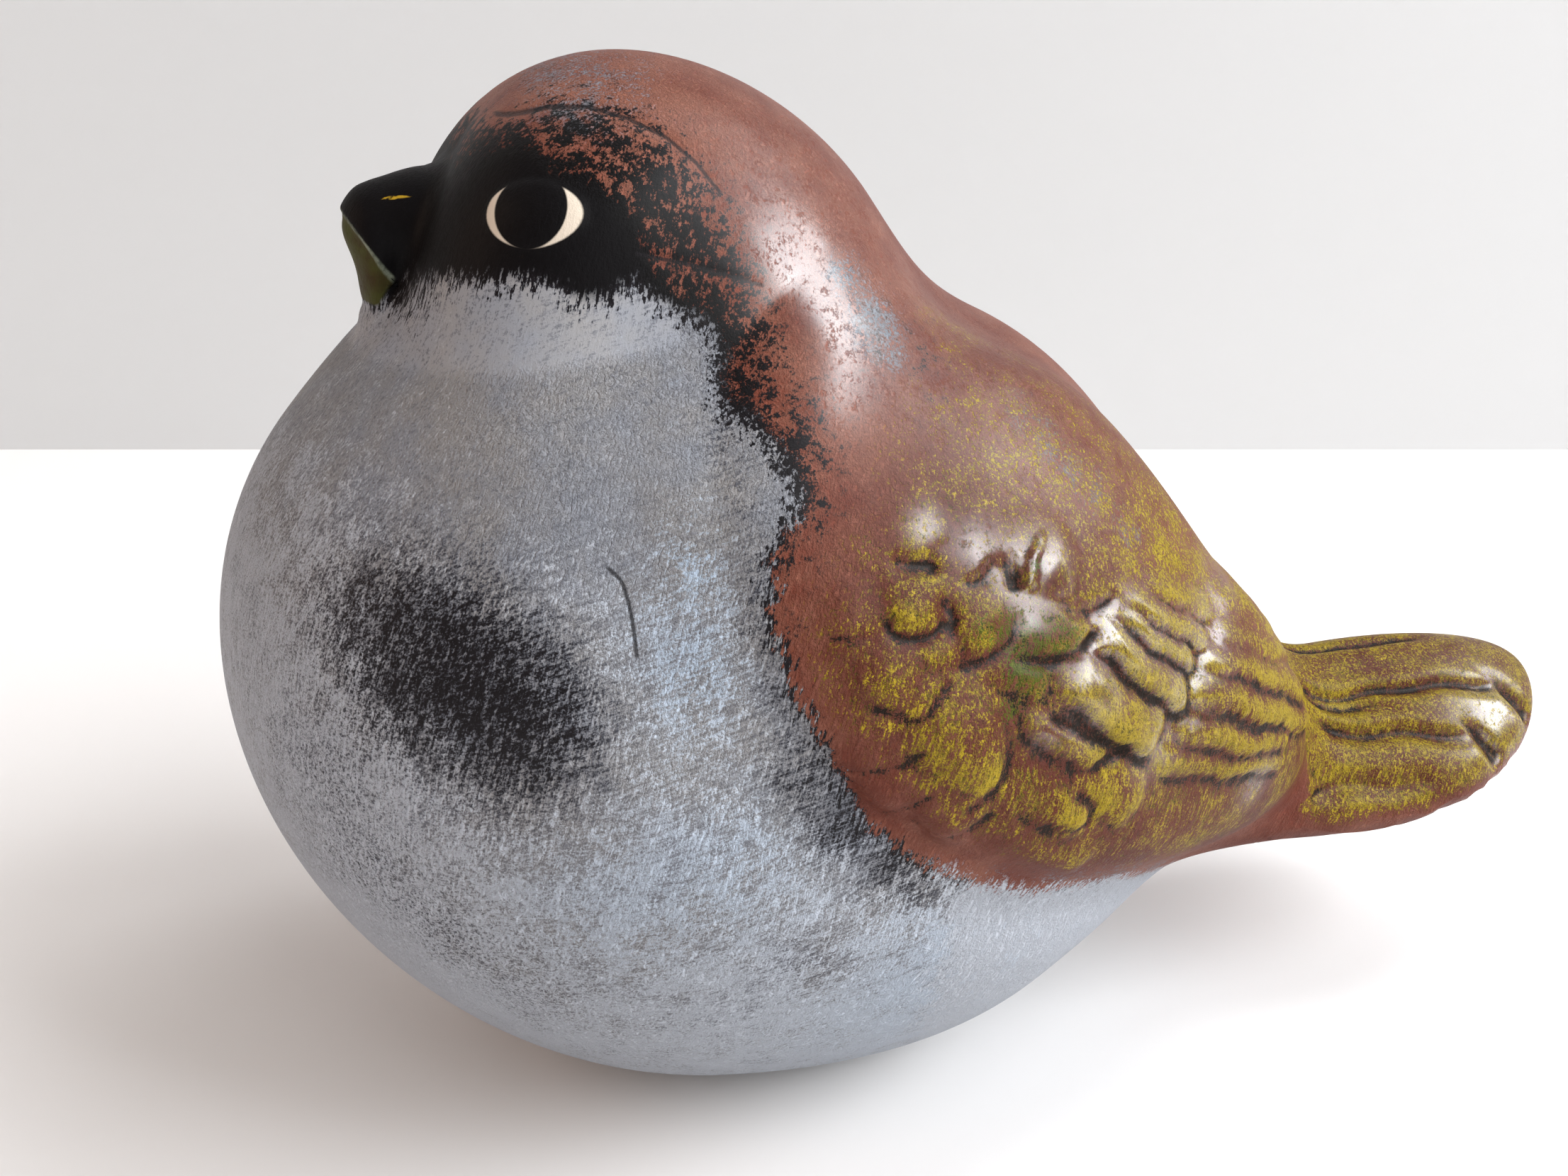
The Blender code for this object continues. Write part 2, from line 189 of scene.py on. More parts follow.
@dataclass(frozen=True)
class WingForm:
    """The folded wing seen from the side: an egg whose point is at the tail, raised over the flank."""

    x: float = 49.0
    z: float = 86.7
    lean: float = -38.0
    reach: float = 70.0
    half_depth: float = 39.0
    least_half_depth: float = 4.0
    taper: float = 0.25
    shoulder: float = 15.0
    rise: float = 4.5
    valley: float = 1.6
    valley_offset: float = 7.0
    valley_width: float = 6.0
    inner_edge: float = 12.0
    outer_edge: float = 34.0

    def place(self, points: np.ndarray) -> tuple[np.ndarray, np.ndarray]:
        """Place on the wing.

        Args:
            points: places in parts, one a row.

        Returns:
            How far along the wing towards its point, and how far up across it.
        """
        return turned(points, self.x, self.z, self.lean)

    def inside(self, points: np.ndarray) -> np.ndarray:
        """Distance inside the wing's outline, in parts, and negative outside it."""
        along, across = self.place(points)
        half_depth = self.half_depth * (1.0 - self.taper * along / self.reach)
        half_depth = np.maximum(half_depth, self.least_half_depth)
        return self.half_depth * (1.0 - np.hypot(along / self.reach, across / half_depth))

    def pad(self, points: np.ndarray) -> np.ndarray:
        """How far the wing stands out of the flank, in parts, with the soft valley round it."""
        inside = self.inside(points)
        shoulder = 1.0 - np.clip(inside / self.shoulder, 0.0, 1.0)
        valley = self.valley * np.exp(-(((inside + self.valley_offset) / self.valley_width) ** 2))
        rise = self.rise * (1.0 - shoulder**2)
        return (rise - valley) * smooth_step(self.inner_edge, self.outer_edge, np.abs(points[:, 1]))


@dataclass(frozen=True)
class TailForm:
    """The short tail: a low roof whose halves slope away from a ridge."""

    lump: Lump = Lump(x=111.8, z=44.2, along=42.5, deep=12, half_width=25, lean=3.8, join=10.8)
    slope: float = 0.55
    ridge_rounding: float = 6.0

    def distance(self, points: np.ndarray) -> np.ndarray:
        """Distance to the tail, in parts, and negative inside it."""
        roof = points.copy()
        ridge = np.hypot(roof[:, 1], self.ridge_rounding) - self.ridge_rounding
        roof[:, 2] += self.slope * ridge
        return self.lump.distance(roof)


@dataclass(frozen=True)
class BeakForm:
    """The stubby beak: an upper half that hoods the lower one along a slanting crease."""

    upper: Lump = Lump(x=-38.2, z=140.5, along=18.7, deep=9, half_width=9.5, lean=-2.2, join=3)
    lower: Lump = Lump(x=-52.1, z=134.1, along=3.4, deep=11.9, half_width=8, lean=3, join=3)
    crease_x: float = -56.0
    crease_z: float = 142.9
    crease_slope: float = 1.37
    base_x: float = -44.2
    base_z: float = 148.2
    base_slope: float = 0.42
    base_low: float = 129.5
    base_half_width: float = 10.5

    def distance(self, points: np.ndarray) -> np.ndarray:
        """Distance to both halves together, in parts, and negative inside them."""
        return soft_union(self.upper.distance(points), self.lower.distance(points), self.lower.join)

    def over_crease(self, points: np.ndarray) -> np.ndarray:
        """Distance above the crease, in parts, and negative on the lower half."""
        run = points[:, 0] - self.crease_x
        climb = points[:, 2] - self.crease_z
        return (climb + self.crease_slope * run) / math.hypot(1.0, self.crease_slope)

    def before_base(self, points: np.ndarray) -> np.ndarray:
        """Distance in front of the line where the beak meets the face, in parts."""
        line = self.base_x - self.base_slope * (self.base_z - points[:, 2])
        ahead = line - points[:, 0]
        under = points[:, 2] - self.base_low
        aside = self.base_half_width - np.abs(points[:, 1])
        return np.minimum(np.minimum(ahead, under), aside)


@dataclass(frozen=True)
class BirdForm:
    """The smooth bird before it is carved: soft-joined lumps with the wings, tail and beak."""

    belly: Lump = Lump(x=-12.1, z=65.7, along=72.7, deep=61.4, half_width=62, lean=-42.2)
    back: Lump = Lump(x=25.8, z=65.6, along=61.6, deep=48.5, half_width=54, lean=-85.6, join=19.6)
    head: Lump = Lump(x=-6.6, z=132.9, along=37.3, deep=27.5, half_width=33.5, lean=-37.2, join=14)
    rump: Lump = Lump(x=61.4, z=56.6, along=44.3, deep=26.6, half_width=35, lean=-24.2, join=24.3)
    nape: Lump = Lump(x=4.3, z=102.3, along=30, deep=21, half_width=35, lean=-35.4, join=16.5)
    throat: Lump = Lump(x=-16.1, z=110.0, along=34.3, deep=22, half_width=45, lean=-20, join=18)
    cheek: Lump = Lump(x=-26.0, z=135.7, along=18, deep=18, half_width=17, join=12, out=14)
    wing: WingForm = WingForm()
    tail: TailForm = TailForm()
    beak: BeakForm = BeakForm()
    probe: float = 0.25

    def lumps(self) -> list[Lump]:
        """The plain lumps, the belly first."""
        return [self.belly, self.back, self.head, self.rump, self.nape, self.throat, self.cheek]

    def distance(self, points: np.ndarray) -> np.ndarray:
        """Distance to the smooth bird.

        Args:
            points: places in parts, one a row.

        Returns:
            Distances in parts, negative inside.
        """
        sided = points.copy()
        sided[:, 1] = np.abs(sided[:, 1])
        first, *others = self.lumps()
        distance = first.distance(sided)
        for lump in others:
            distance = soft_union(distance, lump.distance(sided), lump.join)
        distance = soft_union(distance, self.tail.distance(sided), self.tail.lump.join)
        distance = soft_union(distance, self.beak.distance(sided), self.beak.upper.join)
        return distance - self.wing.pad(sided)

    def normals(self, points: np.ndarray) -> tuple[np.ndarray, np.ndarray, np.ndarray]:
        """Distances with their outward directions.

        Args:
            points: places in parts, one a row.

        Returns:
            The distances, the unit directions, and how steep the field is.
        """
        here = self.distance(points)
        slopes = np.empty_like(points)
        for axis in range(3):
            moved = points.copy()
            moved[:, axis] += self.probe
            slopes[:, axis] = (self.distance(moved) - here) / self.probe
        steepness = np.maximum(np.linalg.norm(slopes, axis=1), 1e-6)
        return here, slopes / steepness[:, None], steepness


@dataclass(frozen=True)
class Feather:
    """One carved feather or scale, in parts, laid out along and across the wing.

    It climbs from its root, is crowned across, and ends in a rounded step at its tip.
    """

    root: tuple[float, float]
    tip: tuple[float, float]
    root_half: float
    tip_half: float
    rise: float
    quick: float = 0.9
    start: float = 0.1
    bow: float = 0.0
    crest: float = 0.0
    scallop: float = 0.0
    bead: float = 0.0
    pitch: float = 2.9

    def height(self, along: np.ndarray, across: np.ndarray) -> np.ndarray:
        """Height of the feather over the wing.

        Args:
            along: places along the wing.
            across: places across the wing.

        Returns:
            Heights in parts.
        """
        run = self.tip[0] - self.root[0]
        climb = self.tip[1] - self.root[1]
        length = math.hypot(run, climb)
        down = ((along - self.root[0]) * run + (across - self.root[1]) * climb) / length
        share = np.clip(down / length, 0.0, 1.0)
        side = ((across - self.root[1]) * run - (along - self.root[0]) * climb) / length
        side = side - 4.0 * self.bow * share * (1.0 - share)
        half = self.root_half + (self.tip_half - self.root_half) * share
        wave = 0.5 + 0.5 * np.cos(2.0 * math.pi * down / self.pitch)
        half = half * (1.0 - self.scallop * wave * (side < 0.0))
        over_tip = np.maximum(down - (length - self.tip_half), 0.0) / self.tip_half
        over_root = np.maximum(-down, 0.0) / self.root_half
        off_crest = side / half + self.crest
        off_crest = off_crest / np.where(off_crest > 0.0, 1.0 + self.crest, 1.0 - self.crest)
        crown = np.clip(1.0 - off_crest**2 - over_tip**2 - over_root**2, 0.0, 1.0)
        climbed = np.sin(0.5 * math.pi * np.clip(share / self.quick, 0.0, 1.0))
        ramp = (self.start + (1.0 - self.start) * climbed) * (1.0 - self.bead * wave)
        return self.rise * crown * ramp


@dataclass(frozen=True)
class WingCarving:
    """The feathers of the folded wing, tier by tier, and the hollows between them."""

    bank_rise: float = 1.9
    bank_climb: tuple[float, float] = (9.5, 19.0)
    bank_fall: tuple[float, float] = (24.0, 54.0)
    bank_low_edge: tuple[float, float] = (-19.0, -11.0)
    bank_high_edge: tuple[float, float] = (16.0, 10.0)
    crease_width: float = 0.5
    crease_depth: float = 0.5
    crease_side: float = 15.0
    wobble: tuple[float, float, float, float] = (0.5, 0.2, 0.3, 0.12)
    creases: tuple[Path, ...] = (
        ((-38.9, -18), (-37.1, -18.7), (-34.7, -17.9), (-32.8, -16.3), (-31.4, -13.9)),
        ((-33, -11.6), (-30.5, -12.5), (-30.3, -14.4)),
        ((-26.5, -17.1), (-24.3, -15.1), (-22.6, -12.8), (-21.7, -10.4), (-22.4, -8.3)),
        ((-34.5, -27.7), (-32.2, -27), (-29.7, -26.6), (-27.9, -25), (-27.4, -20)),
        ((-31.3, -36.4), (-28.7, -34.3), (-26.5, -31.7), (-25.4, -28.9)),
        ((-22.9, -38.9), (-21.7, -36.2), (-20.4, -33.3)),
        ((-14.3, -32.2), (-12.9, -29.1), (-12.4, -26.6), (-14.1, -22.8), (-16.5, -20.2)),
        ((-13, -36.8), (-11.5, -34.7), (-10.4, -31.5)),
        ((-18.6, -12), (-15.5, -10.6), (-12.2, -7.7), (-9.4, -4.2)),
        ((-10.2, -16), (-3, -15.8), (4.1, -14.5)),
        ((-44.2, -23.5), (-42.1, -22.6), (-40.7, -21)),
        ((0.8, -18), (3.7, -15.3)),
        ((0.8, -22.9), (4.9, -23.4), (6.1, -25.8), (3.5, -27.9), (-1.3, -29.1)),
    )

    def small_coverts(self) -> list[Feather]:
        """Soft domes and scales on the front of the wing."""
        return [
            Feather((-42, -3), (-36, -6.5), 6, 5.5, 0.6, start=0.3),
            Feather((-34, -3), (-28, -5.5), 5.5, 4.4, 0.7, start=0.4),
            Feather((-24, 1), (-15, -1.8), 5.6, 5.4, 1, start=0.5, quick=0.4),
            Feather((-23.3, 2.4), (-23, -4.4), 0.9, 0.8, 1.5, start=0.9),
            Feather((-39, -9.5), (-34.8, -17.9), 5.4, 5, 1.3, start=0),
            Feather((-29.5, -6.5), (-24.6, -14.5), 5, 5, 1.1, start=0.1),
            Feather((-34, -15.5), (-28.5, -19.2), 4, 3.8, 0.8, start=0),
            Feather((-38.5, -18.5), (-31, -27.8), 5.6, 5.4, 1.1, start=0),
            Feather((-45, -15), (-40, -25), 4.6, 4.2, 0.8, start=0),
        ]

    def lower_coverts(self) -> list[Feather]:
        """The broad scales along the lower edge of the wing."""
        return [
            Feather((-40, -30), (-20.3, -36), 5, 5, 1.6, start=0, crest=0.3),
            Feather((-30, -31), (-9.8, -34.4), 5, 5.8, 1.7, start=0, crest=0.3),
            Feather((-34, -22), (-12, -26.6), 7, 8.4, 2.2, start=0, crest=0.3),
            Feather((-8, -33), (13, -32), 3.2, 3.2, 0.7, crest=0.2),
            Feather((-11, -25.5), (6, -25.7), 3.9, 4.1, 1.1, crest=0.2),
            Feather((-3, -19.5), (14.6, -20.8), 4, 4.7, 1.3, crest=0.2),
            Feather((-1.2, -24.7), (1.2, -25.3), 1.8, 1.8, 1.4, start=0.9),
        ]

    def middle_coverts(self) -> list[Feather]:
        """The two green coverts whose lower edges face the fingers."""
        return [
            Feather((-25.5, -8), (-9.7, -4.6), 5.4, 4.3, 1.3, start=0.1, crest=0.35),
            Feather((-22.5, -14.6), (-12.9, -12.2), 3, 2.5, 1, start=0.3, crest=0.3),
        ]

    def fingers(self) -> list[Feather]:
        """The long fingers side by side in the middle of the wing, whose roots rise in a step."""
        return [
            Feather((-3, 11.2), (17, 12.2), 2.6, 2.2, 0.6, quick=0.6, crest=0.3),
            Feather((-5, 7), (16.4, 8), 2.5, 2.1, 1, quick=0.5, crest=0.4),
            Feather((-6.2, 3.2), (14.6, 4), 2.1, 2, 1.2, quick=0.4, bow=0.2, crest=0.4),
            Feather((-6.6, 0.6), (12.6, 0.2), 1.8, 1.8, 1.1, quick=0.4, bow=0.2, crest=0.4),
            Feather((-9, -3.1), (13.2, -4.4), 2.4, 3, 1.6, quick=0.3, crest=0.4),
            Feather((-12, -9.4), (11.8, -10.6), 4, 4, 1.9, quick=0.3, bow=-0.6, crest=0.45),
            Feather((-16, -16.4), (2, -16.6), 2.1, 2.4, 1.2, quick=0.3, bow=-1.6, crest=0.3),
        ]

    def flight_feathers(self) -> list[Feather]:
        """The long feathers that run together at the base of the tail."""
        return [
            Feather((17, 10.2), (52, 11.8), 2.4, 1.6, 0.35, quick=0.3, start=0.5, crest=0.3),
            Feather((16.5, 6.2), (44, 9.6), 2, 1.2, 0.6, quick=0.2, start=0.5, crest=0.3),
            Feather((15.5, 2.5), (61, 8.4), 2.3, 1.8, 0.9, quick=0.2, start=0.5, crest=0.4,
                    scallop=0.1),
            Feather((15, -1.8), (60, 4.9), 2.7, 1.9, 1.1, quick=0.2, start=0.5, crest=0.4,
                    scallop=0.2, bow=-0.6),
            Feather((15, -7.6), (43.5, -0.6), 2.1, 1.6, 0.9, quick=0.2, start=0.5, crest=0.3,
                    bead=0.25, bow=-1.4),
            Feather((12.5, -13), (44.5, -3.6), 2.4, 1.5, 1, quick=0.2, start=0.5, crest=0.3,
                    bow=-1.2),
        ]

    def hollows(self) -> list[Feather]:
        """The slits and pits among the domes."""
        return [
            Feather((-40.1, -10.6), (-35, -8.4), 1.5, 1.4, 0.8, start=0.7),
            Feather((-26.8, -2.6), (-24, -5), 1.5, 1.3, 0.7, start=0.8),
            Feather((-30.6, -8), (-28.6, -3.4), 1.2, 1.2, 0.5, start=0.8),
            Feather((-16.6, -3.4), (-7.2, 1.8), 1.2, 1.3, 0.6, start=0.5, bow=-0.9),
            Feather((-19.6, -12.8), (-9.2, -2.8), 1.2, 1.3, 0.5, start=0.7, bow=-1.6),
            Feather((0.4, -18.4), (5.8, -13.6), 1.2, 1.2, 0.6, start=0.7),
        ]

    def hand_drawn(self, along: np.ndarray, across: np.ndarray) -> tuple[np.ndarray, np.ndarray]:
        """Bend the wing's chart a little, so that no feather is ruler-straight.

        Args:
            along: places along the wing.
            across: places across the wing.

        Returns:
            Both, shifted by up to 0.7 of a part.
        """
        slow_along, quick_along, slow_across, quick_across = self.wobble
        bent_along = along + slow_along * np.sin(0.55 * across + 1.3)
        bent_along += quick_along * np.sin(1.3 * across + 0.4 * along)
        bent_across = across + slow_across * np.sin(0.45 * along + 0.7)
        bent_across += quick_across * np.sin(1.1 * along + 0.5 * across)
        return bent_along, bent_across

    def crease(self, form: WingForm, points: np.ndarray) -> np.ndarray:
        """How strongly a drawn crease marks each place, from 0 to 1."""
        along, across = form.place(points)
        nearest = np.full(len(points), ENDLESS)
        for line in self.creases:
            nearest = np.minimum(nearest, line_distance(along, across, line))
        return np.exp(-((nearest / self.crease_width) ** 2)) * (np.abs(points[:, 1]) > self.crease_side)

    def bank(self, along: np.ndarray, across: np.ndarray) -> np.ndarray:
        """The step up to the flight feathers, which sinks again towards their tips."""
        up = smooth_step(*self.bank_climb, along + 0.12 * across)
        down = 1.0 - smooth_step(*self.bank_fall, along)
        sides = smooth_step(*self.bank_low_edge, across - 0.25 * along)
        return self.bank_rise * up * down * sides * smooth_step(*self.bank_high_edge, across)

    def height(self, form: WingForm, points: np.ndarray) -> np.ndarray:
        """Height of the carving over both smooth wings.

        Args:
            form: the wing that is carved.
            points: places in parts, one a row.

        Returns:
            Heights in parts.
        """
        along, across = self.hand_drawn(*form.place(points))
        relief = np.zeros(len(points))
        for feather in self.small_coverts() + self.lower_coverts() + self.middle_coverts() + self.fingers():
            relief = np.maximum(relief, feather.height(along, across))
        flight = np.zeros(len(points))
        for feather in self.flight_feathers():
            flight = np.maximum(flight, feather.height(along, across))
        relief = np.maximum(relief, self.bank(along, across) + flight)
        for hollow in self.hollows():
            relief -= hollow.height(along, across)
        relief -= self.crease_depth * self.crease(form, points)
        on_side = smooth_step(7.0, 20.0, np.abs(points[:, 1]))
        before_tail = 1.0 - smooth_step(88.0, 100.0, points[:, 0])
        return relief * on_side * before_tail


@dataclass(frozen=True)
class TailCarving:
    """The long grooves between the tail feathers, and the nicks where the feathers end."""

    depth: float = 1.5
    width: float = 1.15
    grooves: Blots = (
        (0, 0, 98, 135),
        (10.9, 10.4, 101, 149),
        (11.6, 13.6, 101, 122),
        (15.8, 19, 103, 139),
        (21.4, 23.2, 96, 127),
    )
    nicks: Path = ((145.5, 11.6), (135.5, 18.6))
    nick_depth: float = 1.9

    def height(self, points: np.ndarray, normals: np.ndarray) -> np.ndarray:
        """Depth of the grooves, in parts and below zero.

        Args:
            points: places in parts, one a row.
            normals: outward directions there.

        Returns:
            Heights in parts.
        """
        x = points[:, 0]
        side = np.abs(points[:, 1])
        relief = np.zeros(len(points))
        for near, far, start, end in self.grooves:
            line = near + (far - near) * (x - start) / (end - start)
            wander = 0.25 * np.sin(x / 2.3 + near)
            groove = np.exp(-(((side - line - wander) / self.width) ** 2))
            ends = smooth_step(start - 3.0, start + 3.0, x) * (1.0 - smooth_step(end - 12.0, end + 1.0, x))
            relief = np.minimum(relief, -self.depth * groove * ends)
        for nick_x, nick_side in self.nicks:
            gap = ((x - nick_x) / 4.5) ** 2 + ((side - nick_side - 0.45 * (x - nick_x)) / 1.6) ** 2
            relief = np.minimum(relief, -self.nick_depth * np.exp(-gap))
        return relief * smooth_step(0.05, 0.4, normals[:, 2]) * smooth_step(88.0, 97.0, x)


@dataclass(frozen=True)
class Incision:
    """A fine line cut into the wet clay, seen from the side."""

    line: Path
    half_width: float
    depth: float
    left_only: bool = False
    side_from: float = 8.0

    def strength(self, points: np.ndarray, half_width: float) -> np.ndarray:
        """How strongly a line of that half width would mark each place, from 0 to 1."""
        near = line_distance(points[:, 0], points[:, 2], self.line)
        out = -points[:, 1] if self.left_only else np.abs(points[:, 1])
        return np.exp(-((near / half_width) ** 2)) * (out > self.side_from)

    def side(self, points: np.ndarray) -> np.ndarray:
        """Distance from the nearest stretch of the line, negative on its other side."""
        x, z = points[:, 0], points[:, 2]
        nearest = np.full(len(points), ENDLESS)
        signed = np.zeros(len(points))
        for (x0, z0), (x1, z1) in zip(self.line, self.line[1:]):
            near = line_distance(x, z, ((x0, z0), (x1, z1)))
            turn = ((x1 - x0) * (z - z0) - (z1 - z0) * (x - x0)) / math.hypot(x1 - x0, z1 - z0)
            signed = np.where(near < nearest, turn, signed)
            nearest = np.minimum(near, nearest)
        return signed


@dataclass(frozen=True)
class FaceCarving:
    """The eyes, the mouth crease and the fine lines round the face."""

    eye_x: float = -32.37
    eye_z: float = 146.8
    eye_shear: float = 0.28
    pupil_half: tuple[float, float] = (4.3, 4.55)
    white_offset: tuple[float, float] = (0.5, -0.45)
    white_half: tuple[float, float] = (5.8, 3.95)
    corner_back: float = 1.6
    corner_front: float = 2.3
    eye_side: float = 10.0
    eye_rise: float = 0.9
    eye_rim: float = 1.08
    lower_step: float = 0.8
    seam_depth: float = 0.15
    brow: Incision = Incision(
        ((-33.5, 157.4), (-28, 158.8), (-23.1, 158.9), (-18.4, 157.6), (-13.6, 155.2), (-10, 152),
         (-7.8, 149.0)), half_width=0.4, depth=0.25)
    ear: Incision = Incision(((-18.5, 141.2), (-11.6, 139.4), (-3.7, 136.8)), half_width=0.38, depth=0.2)
    breast: Incision = Incision(
        ((-27.1, 104), (-26.4, 103.3), (-26, 102.4), (-25.65, 100.8), (-25.4, 98.9), (-25.25, 96.9),
         (-25.2, 94.8)), half_width=0.45, depth=0.3, left_only=True)

    def incisions(self) -> list[Incision]:
        """The fine lines."""
        return [self.brow, self.ear, self.breast]

    def eye_place(self, points: np.ndarray) -> tuple[np.ndarray, np.ndarray]:
        """Place from the pupil's middle, square to it although the head curves away."""
        up = points[:, 2] - self.eye_z
        back = points[:, 0] - self.eye_x - self.eye_shear * up
        return back, up

    def white_share(self, points: np.ndarray) -> np.ndarray:
        """Place within the white of the eye: 0 at its middle and 1 at its rim."""
        back, up = self.eye_place(points)
        back = (back - self.white_offset[0]) / self.white_half[0]
        up = (up - self.white_offset[1]) / self.white_half[1]
        power = np.where(back > 0.0, self.corner_back, self.corner_front)
        return np.sqrt(np.abs(back) ** power + up**2) + FAR * (np.abs(points[:, 1]) < self.eye_side)

    def pupil_share(self, points: np.ndarray) -> np.ndarray:
        """Place within the pupil: 0 at its middle and 1 at its rim."""
        back, up = self.eye_place(points)
        return np.hypot(back / self.pupil_half[0], up / self.pupil_half[1])

    def height(self, beak: BeakForm, points: np.ndarray) -> np.ndarray:
        """Height of the carving over the smooth face.

        Args:
            beak: the beak that the crease runs round.
            points: places in parts, one a row.

        Returns:
            Heights in parts.
        """
        dome = np.clip(1.0 - (self.white_share(points) / self.eye_rim) ** 2, 0.0, 1.0)
        height = self.eye_rise * np.sqrt(dome)
        over = beak.over_crease(points)
        ahead = beak.before_base(points)
        height -= self.lower_step * (1.0 - smooth_step(-0.5, 0.3, over)) * smooth_step(-1.5, 1.0, ahead)
        height -= self.seam_depth * np.exp(-((ahead / 0.9) ** 2)) * (points[:, 0] < -40.0)
        for incision in self.incisions():
            height -= incision.depth * incision.strength(points, incision.half_width)
        return height


@dataclass(frozen=True)
class PaintMap:
    """Where each paint lies, as fields over the surface that the brush marks then break up."""

    crown: Path = (
        (-90, 128), (-49.5, 131.8), (-46.3, 136.6), (-43, 138.1), (-39.4, 138.2), (-34.7, 139.1),
        (-30.5, 138.1), (-27.4, 135.9), (-23.5, 136.2), (-19.9, 138.2), (-17.8, 135.9), (-13.4, 133.5),
        (-10.2, 131.8), (-9.4, 129.2), (-10.5, 126.9), (-10.7, 123.1), (-7.4, 120.8), (-5.2, 118.4),
        (-2.3, 112.8), (-4.4, 109.4), (-6.9, 106.4), (-7.3, 101.7), (-7.7, 96.3), (-6.4, 92.5),
        (-5, 87.9), (-2.9, 84.4), (-0.6, 78.7), (4.5, 68.5), (12.5, 60.5), (21.5, 54), (30.5, 49.5),
        (40, 46.5), (52, 42.5), (66, 32), (84, 20), (100, 5), (200, 0), (200, 200),
        (-90, 200),
    )
    mask: Path = (
        (-90, 120), (-40, 126), (-22, 128), (-13, 130), (-14.5, 134), (-17.7, 137.5),
        (-18.5, 141.3), (-18.8, 144.5), (-20.8, 147.7), (-24.9, 150.4), (-29.8, 152.5), (-31.8, 155),
        (-36.7, 153.7), (-41.5, 150.5), (-90, 148),
    )
    mottle: Blots = (
        (-26, 156, 4.5, 0.9), (-20, 154, 5, 0.95), (-15.5, 149, 6, 1),
        (-13, 142.5, 6.5, 1),
        (-10, 136, 6.5, 0.95), (-6.5, 129, 5, 0.8), (-7.5, 122.5, 4, 0.9), (-3, 116.5, 4, 0.9),
        (-1.5, 111, 4, 0.6), (0.4, 120.8, 5, 0.4), (-4.5, 105, 3, 0.4), (-5, 96, 2.5, 0.3),
        (12, 130, 5, 0.25), (20, 125, 5, 0.25),
    )
    smudge: Blots = (
        (-51, 95, 11, 0.7), (-45, 91, 9.5, 0.8), (-38.5, 86.5, 9.5, 0.7), (-55, 88, 10, 0.4),
        (-43, 79, 9, 0.35), (-58, 98, 8, 0.3),
    )
    low_smudge: Blots = (
        (-5.5, 75, 5, 0.8), (0, 68, 5, 1), (7.5, 60, 5, 0.9), (14, 55, 4, 0.6),
        (-3, 46.5, 6, 0.4), (-62, 60, 9, 0.5), (-52, 50, 8, 0.5), (-66, 74, 8, 0.4),
        (-10, 112, 3, 0.4), (-8.5, 104, 3.5, 0.5), (-9, 96, 3.5, 0.45), (-8, 88, 3.5, 0.45),
        (-6, 80, 4, 0.55), (-42, 41, 8, 0.3), (-12, 118, 3, 0.4),
    )
    cool: Blots = (
        (-16, 106, 8, 1), (-18, 92, 9, 0.9), (-16, 124, 9, 0.9), (-27, 131, 7, 0.6),
        (-14, 66, 12, 0.5), (20, 38, 22, 0.5), (-30, 62, 14, 0.4),
    )
    # Slate-blue paint dragged over the brown; the three blots on the top of the cap, from x -27 to -14, are
    # a painted sheen.
    bloom_and_sheen: Blots = (
        (36.4, 113.7, 3, 0.8), (40.6, 109.3, 2.6, 0.9), (44.1, 105.8, 2.8, 0.9), (48.9, 99.8, 3, 0.9),
        (33.4, 116.9, 3, 0.5), (-26.8, 161.5, 6, 0.45), (-20.8, 162.2, 6, 0.4),
        (-14, 162.5, 5, 0.3),
        (9, 136.8, 4, 0.7), (12.5, 130.5, 4.5, 0.8), (14, 127.5, 3.5, 0.6), (36, 49.5, 5, 0.5),
        (48, 45, 6, 0.7), (60, 40, 6, 0.6), (24, 55, 3, 0.4),
    )
    gloss: Blots = (
        (0.5, 141, 5, 0.5), (3, 136.5, 6.5, 0.8), (5.5, 130.5, 6, 0.95), (4.5, 125, 5, 0.6),
        (13, 132.5, 4, 0.3),
        (14.5, 106.5, 3, 0.7), (21.5, 103, 3.5, 0.7), (27.5, 100, 4, 0.9), (33, 98.5, 4, 1),
        (28, 93.5, 3, 0.7), (43.5, 88.5, 6, 1), (39, 83.5, 5.5, 1), (50, 86.5, 5, 0.9),
        (36, 77.5, 3.5, 0.8), (29.5, 78.5, 2.5, 0.9), (61, 82, 6, 1), (55.5, 76.5, 6, 1),
        (50, 70.5, 5, 1), (139, 45, 9, 1), (74.5, 55, 4, 0.9), (-34, 145, 14, 0.15),
        (66, 86, 4, 0.7), (2, 153, 12, 0.22), (10, 142, 12, 0.3),
        (20, 127, 10, 0.35), (32, 117, 10, 0.35), (46, 106, 10, 0.3),
    )
    green: Blots = (
        (-18.6, -8.3, 4.5, 0.55), (-13.3, -6.8, 4, 0.6), (-18.8, -12.8, 3, 0.8),
        (-17, -18, 2.5, 0.75),
        (-22.8, -1, 1.2, 0.9), (-23.6, -9.7, 4, 0.5), (-15, -13, 2.5, 0.6), (-27, -12, 3, 0.4),
    )
    yellow: Blots = (
        (2, 2, 14, 0.85), (2, -11, 12, 0.9), (28, 0, 18, 0.9), (-36.5, -15, 5, 0.9),
        (-38, -7.5, 3.5, 0.8), (-25, -12, 6, 0.8), (-14, -27, 7, 0.8), (4, -24, 9, 0.95),
        (-12, -8, 7, 0.9), (46, 5, 12, 0.8), (-2, 15, 12, 0.6), (-16, 7, 7, 0.5),
        (-30, -20, 6, 0.5), (-24, -30, 6, 0.5), (12, -33, 9, 0.5), (-40, -27, 5, 0.4),
    )
    thin_yellow: float = 0.27
    tail_yellow: float = 0.38
    groove_yellow: float = 0.09
    crest_yellow: float = 0.4
    nostril: tuple[float, float] = (-48.7, 145.8)
    nostril_half: tuple[float, float] = (2.5, 0.27)
    nostril_slope: float = 0.09
    line_reach: float = 1.6

